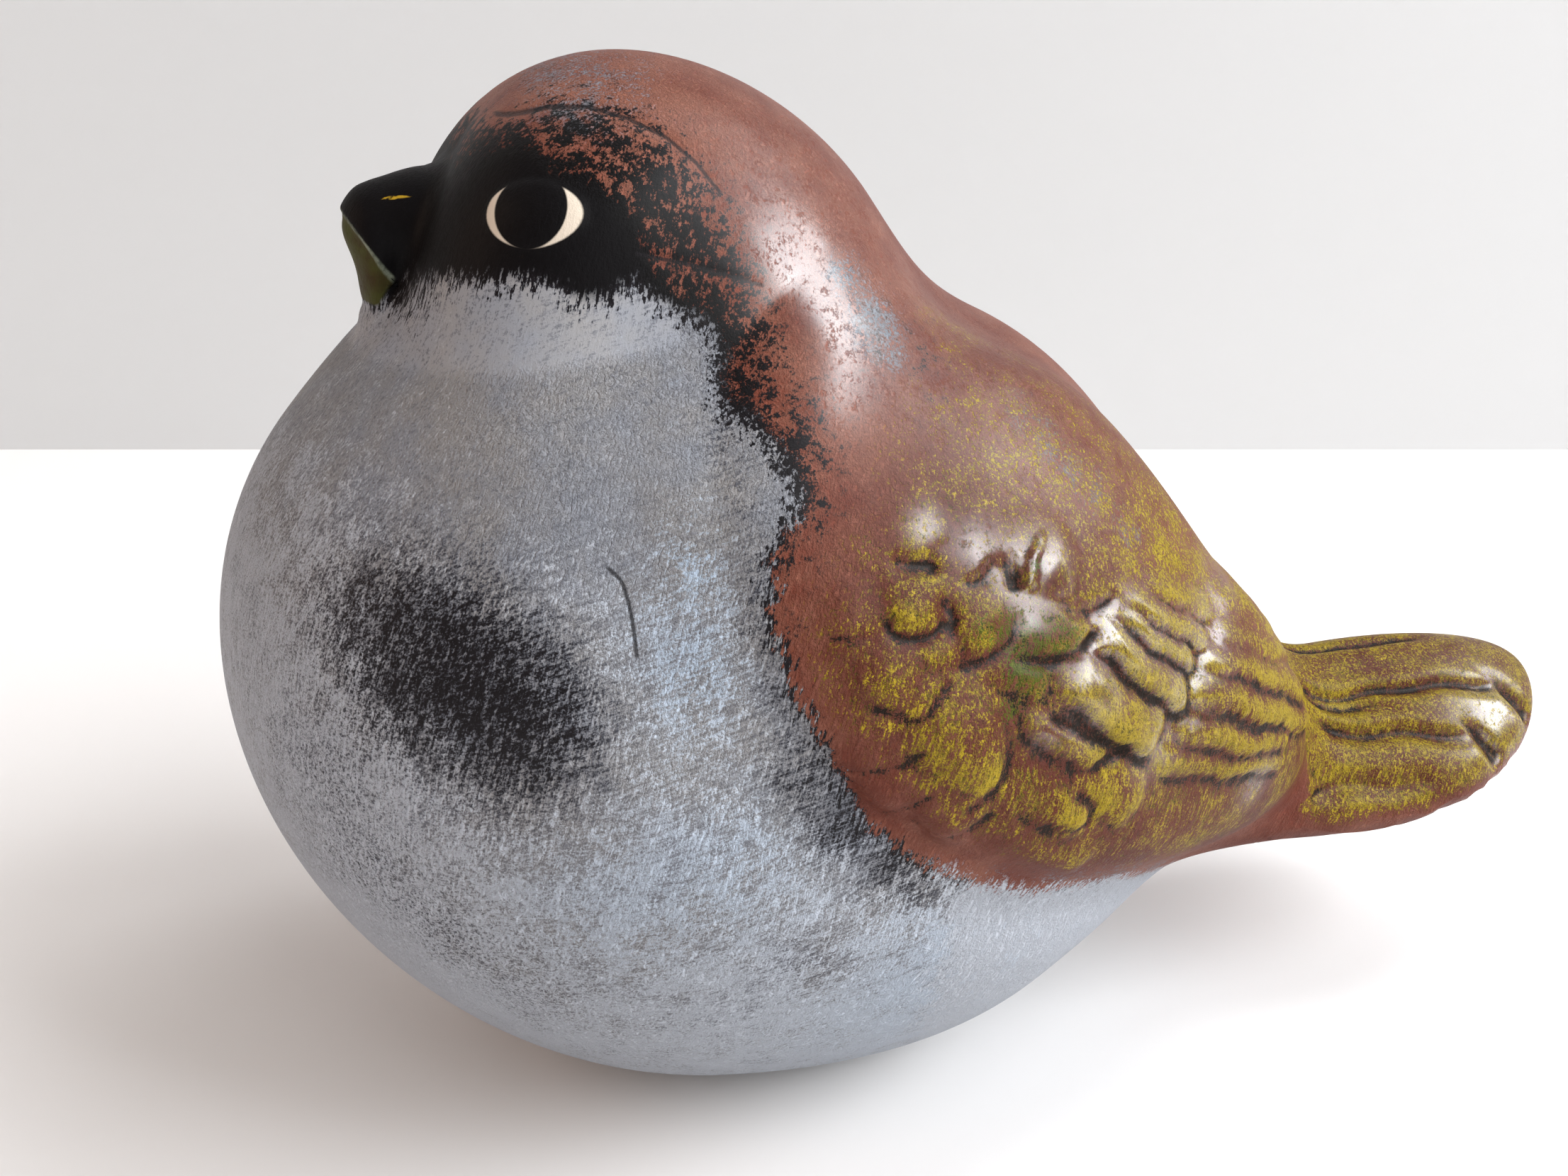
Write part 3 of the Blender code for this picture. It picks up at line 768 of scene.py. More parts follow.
    def fields(self, form: BirdForm, face: FaceCarving, points: np.ndarray, normals: np.ndarray,
               cavity: np.ndarray) -> dict[str, np.ndarray]:
        """All paint fields.

        Args:
            form: the smooth bird.
            face: the carving of its face.
            points: places on the smooth bird in parts, one a row.
            normals: outward directions there.
            cavity: how hollow the carved surface is there, from -1 on crests to 1 in grooves.

        Returns:
            Each field by its attribute's name.
        """
        x, z = points[:, 0], points[:, 2]
        along = x - self.nostril[0]
        up = z - self.nostril[1] - self.nostril_slope * along
        hole = np.hypot(along / self.nostril_half[0], up / self.nostril_half[1])
        fields = {name: self.blots(x, z, getattr(self, name))
                  for name in ("mottle", "smudge", "low_smudge", "cool", "bloom_and_sheen", "gloss")}
        fields["smudge"] *= smooth_step(2.0, 12.0, np.abs(points[:, 1]))
        fields |= {
            "crown": inside_distance(x, z, self.crown),
            "mask": inside_distance(x, z, self.mask),
            "beak": form.beak.before_base(points) - 0.45 * np.clip(134.0 - z, 0.0, 8.0),
            "mouth": form.beak.over_crease(points),
            "white": 4.0 * (1.0 - face.white_share(points)),
            "pupil": 4.0 * (1.0 - face.pupil_share(points)),
            "nostril": 1.0 - hole,
            # Painted light and shade on the breast, laid as more or less pale paint.
            "pale": self.painted_light_on_breast(x, z),
            "seam": smooth_step(8.0, 24.0, x) * smooth_step(76.0, 64.0, z),
            "groove": np.clip(cavity, 0.0, 1.0),
            "line_side": np.full(len(points), FAR),
            "line_reach": np.zeros(len(points)),
        }
        for incision in face.incisions():
            reach = incision.strength(points, self.line_reach)
            nearer = reach > fields["line_reach"]
            fields["line_side"] = np.where(nearer, incision.side(points), fields["line_side"])
            fields["line_reach"] = np.maximum(reach, fields["line_reach"])
        return fields | self.feather_fields(form, points, normals, cavity)

    def feather_fields(self, form: BirdForm, points: np.ndarray, normals: np.ndarray,
                       cavity: np.ndarray) -> dict[str, np.ndarray]:
        """The yellow and green dragged over the feathers, where they lie, and the lower side of the wing and
        the tail, which are painted darker as painted shade.

        Args:
            form: the smooth bird.
            points: places on the smooth bird in parts, one a row.
            normals: outward directions there.
            cavity: how hollow the carved surface is there, from -1 on crests to 1 in grooves.

        Returns:
            Each field by its attribute's name.
        """
        x, z = points[:, 0], points[:, 2]
        side = np.abs(points[:, 1])
        along, across = form.wing.place(points)
        on_wing = smooth_step(-58.0, -38.0, along) * smooth_step(36.0, 16.0, across)
        on_wing *= smooth_step(0.0, 8.0, form.wing.inside(points)) * smooth_step(10.0, 24.0, side)
        crest = smooth_step(-0.2, 0.5, -cavity)
        dragged = self.blots(along, across, self.yellow) * (self.groove_yellow + self.crest_yellow * crest)
        wing = on_wing * (self.thin_yellow + dragged)
        on_tail = smooth_step(88.0, 97.0, x) * smooth_step(-0.1, 0.3, normals[:, 2])
        tail = on_tail * (self.tail_yellow + 0.1 * smooth_step(8.0, 14.0, side) + 0.16 * crest)
        green = self.blots(along, across, self.green) * on_wing
        # Painted shade: the lower side of the wing and the whole tail get deeper brown and dark specks.
        shade = np.maximum(on_wing * smooth_step(14.0, -2.0, across), on_tail)
        return {"yellow": np.maximum(wing, tail), "green": green, "plumage": np.maximum(on_wing, on_tail),
                "shade": shade}

    @staticmethod
    def painted_light_on_breast(x: np.ndarray, z: np.ndarray) -> np.ndarray:
        """Painted light and shade on the breast, as more or less pale grey: most below and in front, where
        it is painted lighter, and least on the throat, where it is painted darker.
        """
        below = smooth_step(95.0, 25.0, z) + 0.8 * smooth_step(60.0, 20.0, z)
        return below + 1.4 * smooth_step(-30.0, -64.0, x) - 2.0 * smooth_step(96.0, 122.0, z)

    @staticmethod
    def blots(x: np.ndarray, z: np.ndarray, spots: Blots) -> np.ndarray:
        """Soft round blots.

        Args:
            x: places one way.
            z: places the other way.
            spots: each blot's middle, radius and strength.

        Returns:
            The blots' joint strength, from 0 to 1.
        """
        clear = np.ones(len(x))
        for middle_x, middle_z, radius, strength in spots:
            clear *= 1.0 - strength * np.exp(-((x - middle_x) ** 2 + (z - middle_z) ** 2) / radius**2)
        return 1.0 - clear


class Sculpt:
    """The one ceramic piece, from fused balls to the carved bird."""

    def __init__(self, form: BirdForm, wing: WingCarving, tail: TailCarving, face: FaceCarving,
                 paint: PaintMap) -> None:
        """Keep the form and its carving."""
        self.form = form
        self.wing = wing
        self.tail = tail
        self.face = face
        self.paint = paint
        self.spacing = 1.44 * PART
        self.lift = 0.24
        self.line_zone = 2.5
        self.softening = 6
        self.longest_step = 4.0

    def build(self) -> bpy.types.Object:
        """Model, carve and mark the piece.

        Returns:
            The finished mesh object, at the origin.
        """
        bird = self.fused_balls()
        self.settle(bird, rounds=8, relax=0.5)
        self.refine(bird)
        self.settle(bird, rounds=3, relax=0.3)
        self.carve(bird)
        bpy.ops.object.shade_smooth()
        return bird

    def fused_balls(self) -> bpy.types.Object:
        """Add each lump as a ball at its size and place, join them and fuse them by a voxel remesh.

        Returns:
            The joined object.
        """
        form = self.form
        bpy.ops.object.select_all(action="DESELECT")
        lumps = form.lumps() + [form.tail.lump, form.beak.upper, form.beak.lower]
        balls = []
        for lump in lumps:
            for side in ((1, -1) if lump.out else (1,)):
                bpy.ops.mesh.primitive_uv_sphere_add(
                    segments=48, ring_count=32, radius=PART,
                    location=(lump.x * PART, side * lump.out * PART, lump.z * PART),
                    rotation=(0.0, -math.radians(lump.lean), 0.0),
                    scale=(lump.along, lump.half_width, lump.deep))
                balls.append(bpy.context.object)
        bpy.ops.object.select_all(action="DESELECT")
        for ball in balls:
            ball.select_set(True)
        bpy.context.view_layer.objects.active = balls[0]
        bpy.ops.object.join()
        bpy.ops.object.transform_apply(location=True, rotation=True, scale=True)
        bird = bpy.context.object
        bird.name = "painted_bird"
        bird.data.name = "painted_bird"
        bird.data.remesh_voxel_size = self.spacing
        bird.data.remesh_voxel_adaptivity = 0.0
        bpy.ops.object.voxel_remesh()
        return bird

    def refine(self, bird: bpy.types.Object) -> None:
        """Subdivide the faces that are finely carved: the feathers, the tail's top and the face."""
        points = self.points(bird)
        bpy.ops.object.mode_set(mode="EDIT")
        bpy.ops.mesh.select_mode(type="FACE")
        bpy.ops.mesh.select_all(action="DESELECT")
        cage = bmesh.from_edit_mesh(bird.data)
        cage.faces.ensure_lookup_table()
        wanted = self.fine_zone(points)
        for face in cage.faces:
            face.select_set(all(wanted[vert.index] for vert in face.verts))
        bmesh.update_edit_mesh(bird.data)
        bpy.ops.mesh.subdivide(number_cuts=1, quadcorner="INNERVERT")
        bpy.ops.mesh.select_all(action="DESELECT")
        bpy.ops.object.mode_set(mode="OBJECT")

    def fine_zone(self, points: np.ndarray) -> np.ndarray:
        """Which places are finely carved."""
        along, across = self.form.wing.place(points)
        side = np.abs(points[:, 1])
        feathers = (along > -48.0) & (across < 17.0) & (self.form.wing.inside(points) > 0.0) & (side > 14.0)
        tail = (points[:, 0] > 92.0) & (points[:, 2] > 50.0 - 0.55 * side - 0.1 * (points[:, 0] - 100.0))
        beak = points[:, 0] + 0.3 * (points[:, 2] - 140.0) < -40.0
        beak &= (points[:, 2] > 126.0) & (points[:, 2] < 156.0) & (side < 16.0)
        eye = self.face.white_share(points) < 1.4
        lines = np.zeros(len(points), dtype=bool)
        for incision in self.face.incisions():
            near = line_distance(points[:, 0], points[:, 2], incision.line) < self.line_zone
            lines |= near & (side > incision.side_from)
        return feathers | tail | beak | eye | lines

    @staticmethod
    def points(bird: bpy.types.Object) -> np.ndarray:
        """The piece's vertices, in parts, one a row."""
        flat = np.empty(len(bird.data.vertices) * 3)
        bird.data.vertices.foreach_get("co", flat)
        return flat.reshape(-1, 3) / PART

    @staticmethod
    def put(bird: bpy.types.Object, points: np.ndarray) -> None:
        """Move the piece's vertices to points, in parts."""
        bird.data.vertices.foreach_set("co", (points * PART).ravel())
        bird.data.update()

    @staticmethod
    def neighbours(bird: bpy.types.Object) -> tuple[np.ndarray, np.ndarray]:
        """The piece's edges, and how many meet at each vertex."""
        edges = np.empty(len(bird.data.edges) * 2, dtype=np.int64)
        bird.data.edges.foreach_get("vertices", edges)
        count = np.bincount(edges, minlength=len(bird.data.vertices)).astype(float)
        return edges.reshape(-1, 2), count

    @staticmethod
    def averaged(values: np.ndarray, edges: np.ndarray, count: np.ndarray) -> np.ndarray:
        """The mean of each vertex's neighbours.

        Args:
            values: one number or one row for each vertex.
            edges: pairs of vertices.
            count: how many edges meet at each vertex.

        Returns:
            The means, in the shape of values.
        """
        columns = values.reshape(len(values), -1)
        means = np.empty_like(columns)
        for column in range(columns.shape[1]):
            total = np.bincount(edges[:, 0], weights=columns[edges[:, 1], column], minlength=len(values))
            total += np.bincount(edges[:, 1], weights=columns[edges[:, 0], column], minlength=len(values))
            means[:, column] = total / count
        return means.reshape(values.shape)

    def settle(self, bird: bpy.types.Object, rounds: int, relax: float) -> None:
        """Draw the vertices onto the smooth bird and even out their spacing.

        Args:
            bird: the piece.
            rounds: how many times.
            relax: how far each vertex drifts towards its neighbours' middle, from 0 to 1.
        """
        points = self.points(bird)
        edges, count = self.neighbours(bird)
        for turn in range(rounds + LAST_STEPS):
            distance, normals, steepness = self.form.normals(points)
            step = np.clip(distance / steepness, -self.longest_step, self.longest_step)
            points = points - normals * step[:, None]
            if turn < rounds:
                drift = self.averaged(points, edges, count) - points
                drift -= normals * np.sum(drift * normals, axis=1)[:, None]
                points = points + relax * drift
        self.put(bird, points)

    def carve(self, bird: bpy.types.Object) -> None:
        """Raise and sink the carving, flatten the foot, and store the paint fields on the vertices."""
        smooth = self.points(bird)
        _, normals, _ = self.form.normals(smooth)
        relief = self.wing.height(self.form.wing, smooth) + self.tail.height(smooth, normals)
        relief += self.face.height(self.form.beak, smooth)
        edges, count = self.neighbours(bird)
        relief = 0.5 * relief + 0.5 * self.averaged(relief, edges, count)
        soft = relief
        for _ in range(self.softening):
            soft = 0.5 * soft + 0.5 * self.averaged(soft, edges, count)
        cavity = soft - relief
        cavity = np.clip((0.5 * cavity + 0.5 * self.averaged(cavity, edges, count)) / self.lift, -1.0, 1.0)
        points = smooth + normals * relief[:, None]
        points[:, 2] = np.maximum(points[:, 2], 0.0)
        self.put(bird, points)
        fields = self.paint.fields(self.form, self.face, smooth, normals, cavity)
        fields["crease"] = self.wing.crease(self.form.wing, smooth)
        for name, values in fields.items():
            layer = bird.data.attributes.new(name, "FLOAT", "POINT")
            layer.data.foreach_set("value", values.astype(np.float32))
        log.info("%s: %d vertices, %d faces", bird.name, len(bird.data.vertices), len(bird.data.polygons))


class Paint(Enum):
    """The pots of paint, each as a linear colour."""

    UNDERCOAT = (0.012, 0.010, 0.012, 1.0)
    BLACK = (0.0035, 0.003, 0.0035, 1.0)
    # Dark paint for the grooves, creases and lower wing, partly the undercoat and partly painted shade.
    DARK_PAINT_AND_SHADE = (0.022, 0.014, 0.010, 1.0)
    RED_BROWN = (0.180, 0.045, 0.027, 1.0)
    # Painted shade: a deeper brown for the lower side of the wing and the tail.
    SHADE_BROWN = (0.095, 0.020, 0.012, 1.0)
    SOFT_BROWN = (0.300, 0.116, 0.076, 1.0)
    SLATE = (0.105, 0.110, 0.134, 1.0)
    GREY = (0.280, 0.297, 0.338, 1.0)
    WARM_GREY = (0.325, 0.305, 0.285, 1.0)
    PALE = (0.485, 0.512, 0.570, 1.0)
    BLUE_WHITE = (0.430, 0.520, 0.640, 1.0)
    YELLOW = (0.430, 0.305, 0.018, 1.0)
    OLIVE_YELLOW = (0.215, 0.120, 0.022, 1.0)
    GREEN = (0.100, 0.120, 0.008, 1.0)
    OLIVE = (0.055, 0.058, 0.014, 1.0)
    UMBER = (0.040, 0.022, 0.010, 1.0)
    # A painted highlight along the edge of the beak's crease.
    EDGE_HIGHLIGHT = (0.250, 0.280, 0.210, 1.0)
    EYE_WHITE = (0.640, 0.550, 0.450, 1.0)
    NOSTRIL = (0.420, 0.260, 0.020, 1.0)
    # Slate-blue paint, also laid on the top of the cap as a painted sheen.
    BLOOM = (0.205, 0.222, 0.255, 1.0)


class Signal:
    """A number or a colour in the shader. Arithmetic on it adds the nodes that work it out."""

    def __init__(self, nodes: "Nodes", socket: bpy.types.NodeSocket) -> None:
        """Keep the helper that adds nodes, and the output socket."""
        self.nodes = nodes
        self.socket = socket

    def __add__(self, other: "Signal | float") -> "Signal":
        """The sum."""
        return self.nodes.math("ADD", self, other)

    def __sub__(self, other: "Signal | float") -> "Signal":
        """The difference."""
        return self.nodes.math("SUBTRACT", self, other)

    def __rsub__(self, other: float) -> "Signal":
        """What is left of a number."""
        return self.nodes.math("SUBTRACT", other, self)

    def __mul__(self, other: "Signal | float") -> "Signal":
        """The product."""
        return self.nodes.math("MULTIPLY", self, other)

    def __truediv__(self, other: "Signal | float") -> "Signal":
        """The quotient."""
        return self.nodes.math("DIVIDE", self, other)

    def larger(self, other: "Signal | float") -> "Signal":
        """The larger of the two."""
        return self.nodes.math("MAXIMUM", self, other)

    def unsigned(self) -> "Signal":
        """The number without its sign."""
        return self.nodes.math("ABSOLUTE", self)

    def swing(self, reach: float) -> "Signal":
        """Turn marks from 0 to 1 into an offset from minus half of reach to half of it."""
        return (self - 0.5) * reach

    def between(self, low: float, high: float) -> "Signal":
        """The number that this share of the way from low to high."""
        return self * (high - low) + low

    def ramp(self, low: float, high: float) -> "Signal":
        """Ease from 0 at low to 1 at high, and low may be above high."""
        node = self.nodes.add("ShaderNodeMapRange", interpolation_type="SMOOTHSTEP")
        self.nodes.feed(node, {"Value": self, "From Min": low, "From Max": high})
        return Signal(self.nodes, node.outputs["Result"])


class Nodes:
    """A small helper that adds and wires shader nodes in one tree."""

    def __init__(self, tree: bpy.types.NodeTree) -> None:
        """Keep the tree."""
        self.tree = tree

    def add(self, kind: str, **settings: object) -> bpy.types.Node:
        """Add a node of the given type and set its properties."""
        node = self.tree.nodes.new(kind)
        for name, value in settings.items():
            setattr(node, name, value)
        return node

    def feed(self, node: bpy.types.Node, values: dict[str | int, object]) -> None:
        """Link each signal into its input, and set any other value as the input's own.

        Args:
            node: the node that is fed.
            values: signals, paints or numbers by the input's name or number.
        """
        for key, value in values.items():
            socket = node.inputs[key]
            if isinstance(value, Signal):
                self.tree.links.new(value.socket, socket)
            else:
                socket.default_value = value.value if isinstance(value, Paint) else value

    def math(self, operation: str, *values: object, clamp: bool = False) -> Signal:
        """One arithmetic step on signals or numbers."""
        node = self.add("ShaderNodeMath", operation=operation, use_clamp=clamp)
        self.feed(node, dict(enumerate(values)))
        return Signal(self, node.outputs[0])

    def vector(self, x: object, y: object, z: object) -> Signal:
        """Three numbers as one vector."""
        node = self.add("ShaderNodeCombineXYZ")
        self.feed(node, {0: x, 1: y, 2: z})
        return Signal(self, node.outputs[0])

    def field(self, name: str) -> Signal:
        """A paint field stored on the vertices."""
        return Signal(self, self.add("ShaderNodeAttribute", attribute_name=name).outputs["Fac"])

    def noise(self, place: Signal, pitch: object, detail: object, roughness: float) -> Signal:
        """Soft noise, as fine as its pitch."""
        node = self.add("ShaderNodeTexNoise")
        self.feed(node, {"Vector": place, "Scale": pitch, "Detail": detail, "Roughness": roughness})
        return Signal(self, node.outputs["Fac"])

    def blend(self, share: Signal, under: object, over: object) -> Signal:
        """Lay one colour over another in the given share."""
        node = self.add("ShaderNodeMix", data_type="RGBA", blend_type="MIX", clamp_factor=True)
        self.feed(node, {0: share, 6: under, 7: over})
        return Signal(self, node.outputs[2])

    def group(self, tree: bpy.types.NodeTree, **values: object) -> Signal:
        """Place a node group, feed its inputs by name, and give its output."""
        node = self.add("ShaderNodeGroup", node_tree=tree)
        self.feed(node, values)
        return Signal(self, node.outputs[0])


class Group(Nodes):
    """A shader node group while it is wired."""

    def __init__(self, name: str, **inputs: str) -> None:
        """Start the group.

        Args:
            name: the group's name.
            inputs: socket types by input name.
        """
        super().__init__(bpy.data.node_groups.new(name, "ShaderNodeTree"))
        for socket, kind in inputs.items():
            self.tree.interface.new_socket(name=socket, in_out="INPUT", socket_type=kind)
        source = self.add("NodeGroupInput")
        self.given = {socket: Signal(self, source.outputs[socket]) for socket in inputs}

    def give(self, name: str, kind: str, value: Signal) -> bpy.types.NodeTree:
        """End the group with its one output.

        Args:
            name: the output's name.
            kind: its socket type.
            value: what it gives.

        Returns:
            The finished group.
        """
        self.tree.interface.new_socket(name=name, in_out="OUTPUT", socket_type=kind)
        self.feed(self.add("NodeGroupOutput"), {name: value})
        return self.tree


NUMBER = "NodeSocketFloat"
COLOUR = "NodeSocketColor"
VECTOR = "NodeSocketVector"


def bristle_group() -> bpy.types.NodeTree:
    """Streaks that a dry brush leaves, drawn out along one slanting direction.

    Returns:
        The node group, whose output runs from 0 to 1.
    """
    group = Group("bristle_streaks", Place=VECTOR, Lean=NUMBER, Pitch=NUMBER, Stretch=NUMBER)
    pitch = group.given["Pitch"]
    turned = group.add("ShaderNodeMapping")
    group.feed(turned, {"Vector": group.given["Place"],
                        "Rotation": group.vector(0.0, group.given["Lean"], 0.0)})
    squeeze = group.vector(pitch / group.given["Stretch"], pitch, pitch)
    scaled = group.add("ShaderNodeVectorMath", operation="MULTIPLY")
    group.feed(scaled, {0: Signal(group, turned.outputs[0]), 1: squeeze})
    noise = group.noise(Signal(group, scaled.outputs[0]), pitch=1.0, detail=4.0, roughness=0.68)
    return group.give("Streaks", NUMBER, noise.ramp(0.32, 0.68))


def mottle_group() -> bpy.types.NodeTree:
    """Uneven patches of paint without a direction.

    Returns:
        The node group, whose output runs from 0 to 1.
    """
    group = Group("paint_mottle", Place=VECTOR, Pitch=NUMBER, Detail=NUMBER)
    given = group.given
    noise = group.noise(given["Place"], given["Pitch"], given["Detail"], roughness=0.62)
    return group.give("Mottle", NUMBER, noise.ramp(0.3, 0.7))


def coat_group() -> bpy.types.NodeTree:
    """A coat of paint dragged over what is below: it shows where its cover beats the brush marks.

    Returns:
        The node group, whose output is the coated colour.
    """
    group = Group("dragged_coat", Below=COLOUR, Coat=COLOUR, Cover=NUMBER, Marks=NUMBER, Soft=NUMBER)
    given = group.given
    gap = given["Cover"] * 1.6 - 0.3 - given["Marks"]
    share = group.math("ADD", gap / given["Soft"], 0.5, clamp=True)
    return group.give("Colour", COLOUR, group.blend(share, given["Below"], given["Coat"]))


@dataclass(frozen=True)
class BrushMarks:
    """The marks that break up every coat, as lean in degrees, pitch and stretch, or pitch and detail."""

    fine: tuple[float, float, float] = (72.0, 2100.0, 6.0)
    hatch: tuple[float, float, float] = (16.0, 2300.0, 8.0)
    hairs: tuple[float, float, float] = (80.0, 2200.0, 8.0)
    grain: tuple[float, float] = (3200.0, 2.0)
    clumps: tuple[float, float] = (520.0, 5.0)
    patches: tuple[float, float] = (210.0, 5.0)
    broad: tuple[float, float] = (60.0, 4.0)

    def signals(self, nodes: Nodes) -> dict[str, Signal]:
        """Wire the marks.

        Args:
            nodes: helper for the material's tree.

        Returns:
            Each mark by its name, from 0 to 1.
        """
        place = Signal(nodes, nodes.add("ShaderNodeTexCoord").outputs["Object"])
        bristle, mottle = bristle_group(), mottle_group()
        marks = {}
        for name in ("fine", "hatch", "hairs"):
            lean, pitch, stretch = getattr(self, name)
            lean = math.radians(lean)
            marks[name] = nodes.group(bristle, Place=place, Lean=lean, Pitch=pitch, Stretch=stretch)
        for name in ("grain", "clumps", "patches", "broad"):
            pitch, detail = getattr(self, name)
            marks[name] = nodes.group(mottle, Place=place, Pitch=pitch, Detail=detail)
        return marks


@dataclass(frozen=True)
class Covers:
    """How thickly each coat lies where nothing thins it. The brush marks show through below about 0.8."""

    slate: float = 1.04
    grey: float = 0.84
    pale: float = 0.31
    brown: float = 0.84
    bloom_and_sheen: float = 0.68
    seam: float = 0.75
    olive_yellow: float = 1.3
    yellow: float = 0.93
    green: float = 0.82
    # The next three lay dark paint as painted shade in the grooves, along the creases and on the lower wing.
    groove: float = 0.45
    crease: float = 0.42
    shade_specks: float = 0.24
    line: float = 0.8


class PaintLayers:
    """The coats of paint, in the order in which they are laid one over another."""

    def __init__(self, nodes: Nodes, marks: BrushMarks, covers: Covers) -> None:
        """Wire the brush marks and keep what every coat needs."""
        self.nodes = nodes
        self.covers = covers
        self.coat_tree = coat_group()
        self.marks = marks.signals(nodes)

    def coat(self, below: object, paint: object, cover: Signal, marks: Signal, soft: float) -> Signal:
        """Drag one coat over what is below.

        Args:
            below: the colour below.
            paint: the coat's own colour.
            cover: how thickly it lies.
            marks: the brush marks that break it up.
            soft: how softly it ends at the marks.

        Returns:
            The coated colour.
        """
        return self.nodes.group(self.coat_tree, Below=below, Coat=paint, Cover=cover, Marks=marks, Soft=soft)

    def mixed(self, **shares: float) -> Signal:
        """The sum of several marks, each times its share, drawn out to the full range again."""
        first, *others = [self.marks[name] * share for name, share in shares.items()]
        for other in others:
            first = first + other
        return first.ramp(0.1, 0.9)

    def colour(self) -> Signal:
        """The painted colour, from the undercoat to the eyes."""
        return self.face(self.plumage(self.brown_coat(self.grey_breast())))

    def grey_breast(self) -> Signal:
        """The grey breast: slate and then pale greys dragged over the undercoat, thin over the smudges,
        paler below and in front and darker on the throat as painted light and shade.
        """
        field, blend, marks, covers = self.nodes.field, self.nodes.blend, self.marks, self.covers
        border = field("crown") + marks["hairs"].swing(4.0) + marks["clumps"].swing(2.0)
        thin = field("smudge") * 0.7 + field("low_smudge") * marks["patches"].between(0.25, 0.6)
        thin = thin + border.ramp(-1.5, 1.5) * 1.1 + field("crown").ramp(-9.0, 2.0) * 0.12
        thin = thin + (1.0 - marks["patches"]) * 0.1
        streaks = self.mixed(fine=0.35, hatch=0.35, grain=0.3)
        grey = blend(marks["broad"] * 0.7, Paint.GREY, Paint.WARM_GREY)
        colour = self.coat(Paint.UNDERCOAT, Paint.SLATE, covers.slate - thin, streaks, 0.5)
        colour = self.coat(colour, grey, covers.grey - thin, streaks, 0.6)
        pale = blend(field("cool"), Paint.PALE, Paint.BLUE_WHITE)
        # Painted light and shade: the pale coat is thicker below and in front and thinner on the throat.
        light = field("cool") * 0.16 + marks["patches"] * 0.22 + field("pale") * 0.22 + covers.pale - thin
        return self.coat(colour, pale, light, self.mixed(hatch=0.35, grain=0.35, fine=0.3), 0.6)

    def brown_coat(self, below: Signal) -> Signal:
        """The brown cap, back and wings, thin and mottled towards the black of the face, and deeper brown on
        the lower wing and the tail as painted shade.
        """
        field, blend, marks, covers = self.nodes.field, self.nodes.blend, self.marks, self.covers
        edge = field("crown") + marks["clumps"].swing(3.0) + marks["fine"].swing(3.0)
        tone = self.mixed(broad=0.5, fine=0.3, patches=0.2)
        brown = blend(tone, Paint.RED_BROWN, Paint.SOFT_BROWN)
        # Painted shade: deeper brown laid over the lower side of the wing and over the tail.
        brown = blend(field("shade") * 0.62, brown, Paint.SHADE_BROWN)
        black = field("mask").ramp(-5.0, 2.0) * 0.75
        near_mask = field("mask").ramp(-14.0, -3.0) * field("crown").ramp(-1.0, 2.0)
        below = blend(near_mask, below, Paint.BLACK)
        cover = edge.ramp(-1.2, 1.4) * covers.brown - black.larger(field("mottle") * 0.52)
        colour = self.coat(below, brown, cover, self.mixed(clumps=0.45, fine=0.35, grain=0.2), 0.25)
        streaks = self.mixed(fine=0.5, grain=0.25, patches=0.25)
        # Slate-blue paint, and on the top of the cap a painted sheen.
        colour = self.coat(colour, Paint.BLOOM, field("bloom_and_sheen") * covers.bloom_and_sheen, streaks, 0.6)
        drag = field("seam") * field("crown").ramp(4.5, -1.5)
        return self.coat(colour, Paint.PALE, drag * covers.seam, streaks, 0.5)

    def plumage(self, below: Signal) -> Signal:
        """Yellow and green dragged over the feathers, and dark paint in their grooves, along the creases and
        on the lower wing: partly the dark undercoat left in the grooves, partly painted shade.
        """
        field, marks, covers = self.nodes.field, self.marks, self.covers
        streaks = self.mixed(fine=0.35, hairs=0.25, grain=0.4)
        spread = (marks["patches"].swing(0.24) + marks["broad"].swing(0.2)) * field("plumage")
        yellow = field("yellow") + spread
        colour = self.coat(below, Paint.OLIVE_YELLOW, yellow * covers.olive_yellow, streaks, 0.5)
        colour = self.coat(colour, Paint.YELLOW, yellow * covers.yellow, streaks, 0.3)
        colour = self.coat(colour, Paint.GREEN, field("green") * covers.green, streaks, 0.3)
        # Painted shade: dark specks laid thickest on the lower side of the wing and on the tail.
        shade_specks = field("shade") * covers.shade_specks + marks["patches"].swing(0.16)
        # Painted shade: dark paint in the carved grooves and along the creases under the lobes, where the
        # undercoat also stays dark.
        hollow = field("groove").ramp(0.05, 0.8) * covers.groove
        hollow = hollow.larger(field("crease") * covers.crease)
        specks = self.mixed(grain=0.4, hairs=0.3, clumps=0.3)
        return self.coat(colour, Paint.DARK_PAINT_AND_SHADE, hollow + shade_specks, specks, 0.4)

    def face(self, below: Signal) -> Signal:
        """The glossy black round the eye, the beak with a painted highlight along its crease, the eyes and
        the dark incised lines.
        """
        field, blend, marks = self.nodes.field, self.nodes.blend, self.marks
        inside = (field("mask") + marks["clumps"].swing(4.0)).ramp(-1.0, 2.0)
        upper = (field("crown") + marks["hairs"].swing(4.0)).ramp(0.0, 2.5)
        colour = blend(inside * upper, below, Paint.BLACK)
        line = field("line_side").unsigned().ramp(0.38, 0.12) * field("line_reach").ramp(0.35, 0.75)
        colour = blend(line * self.covers.line, colour, Paint.UNDERCOAT)
        lower = blend(marks["patches"] * 0.8, Paint.OLIVE, Paint.UMBER)
        beak = blend(field("mouth").ramp(0.1, -0.3), Paint.BLACK, lower)
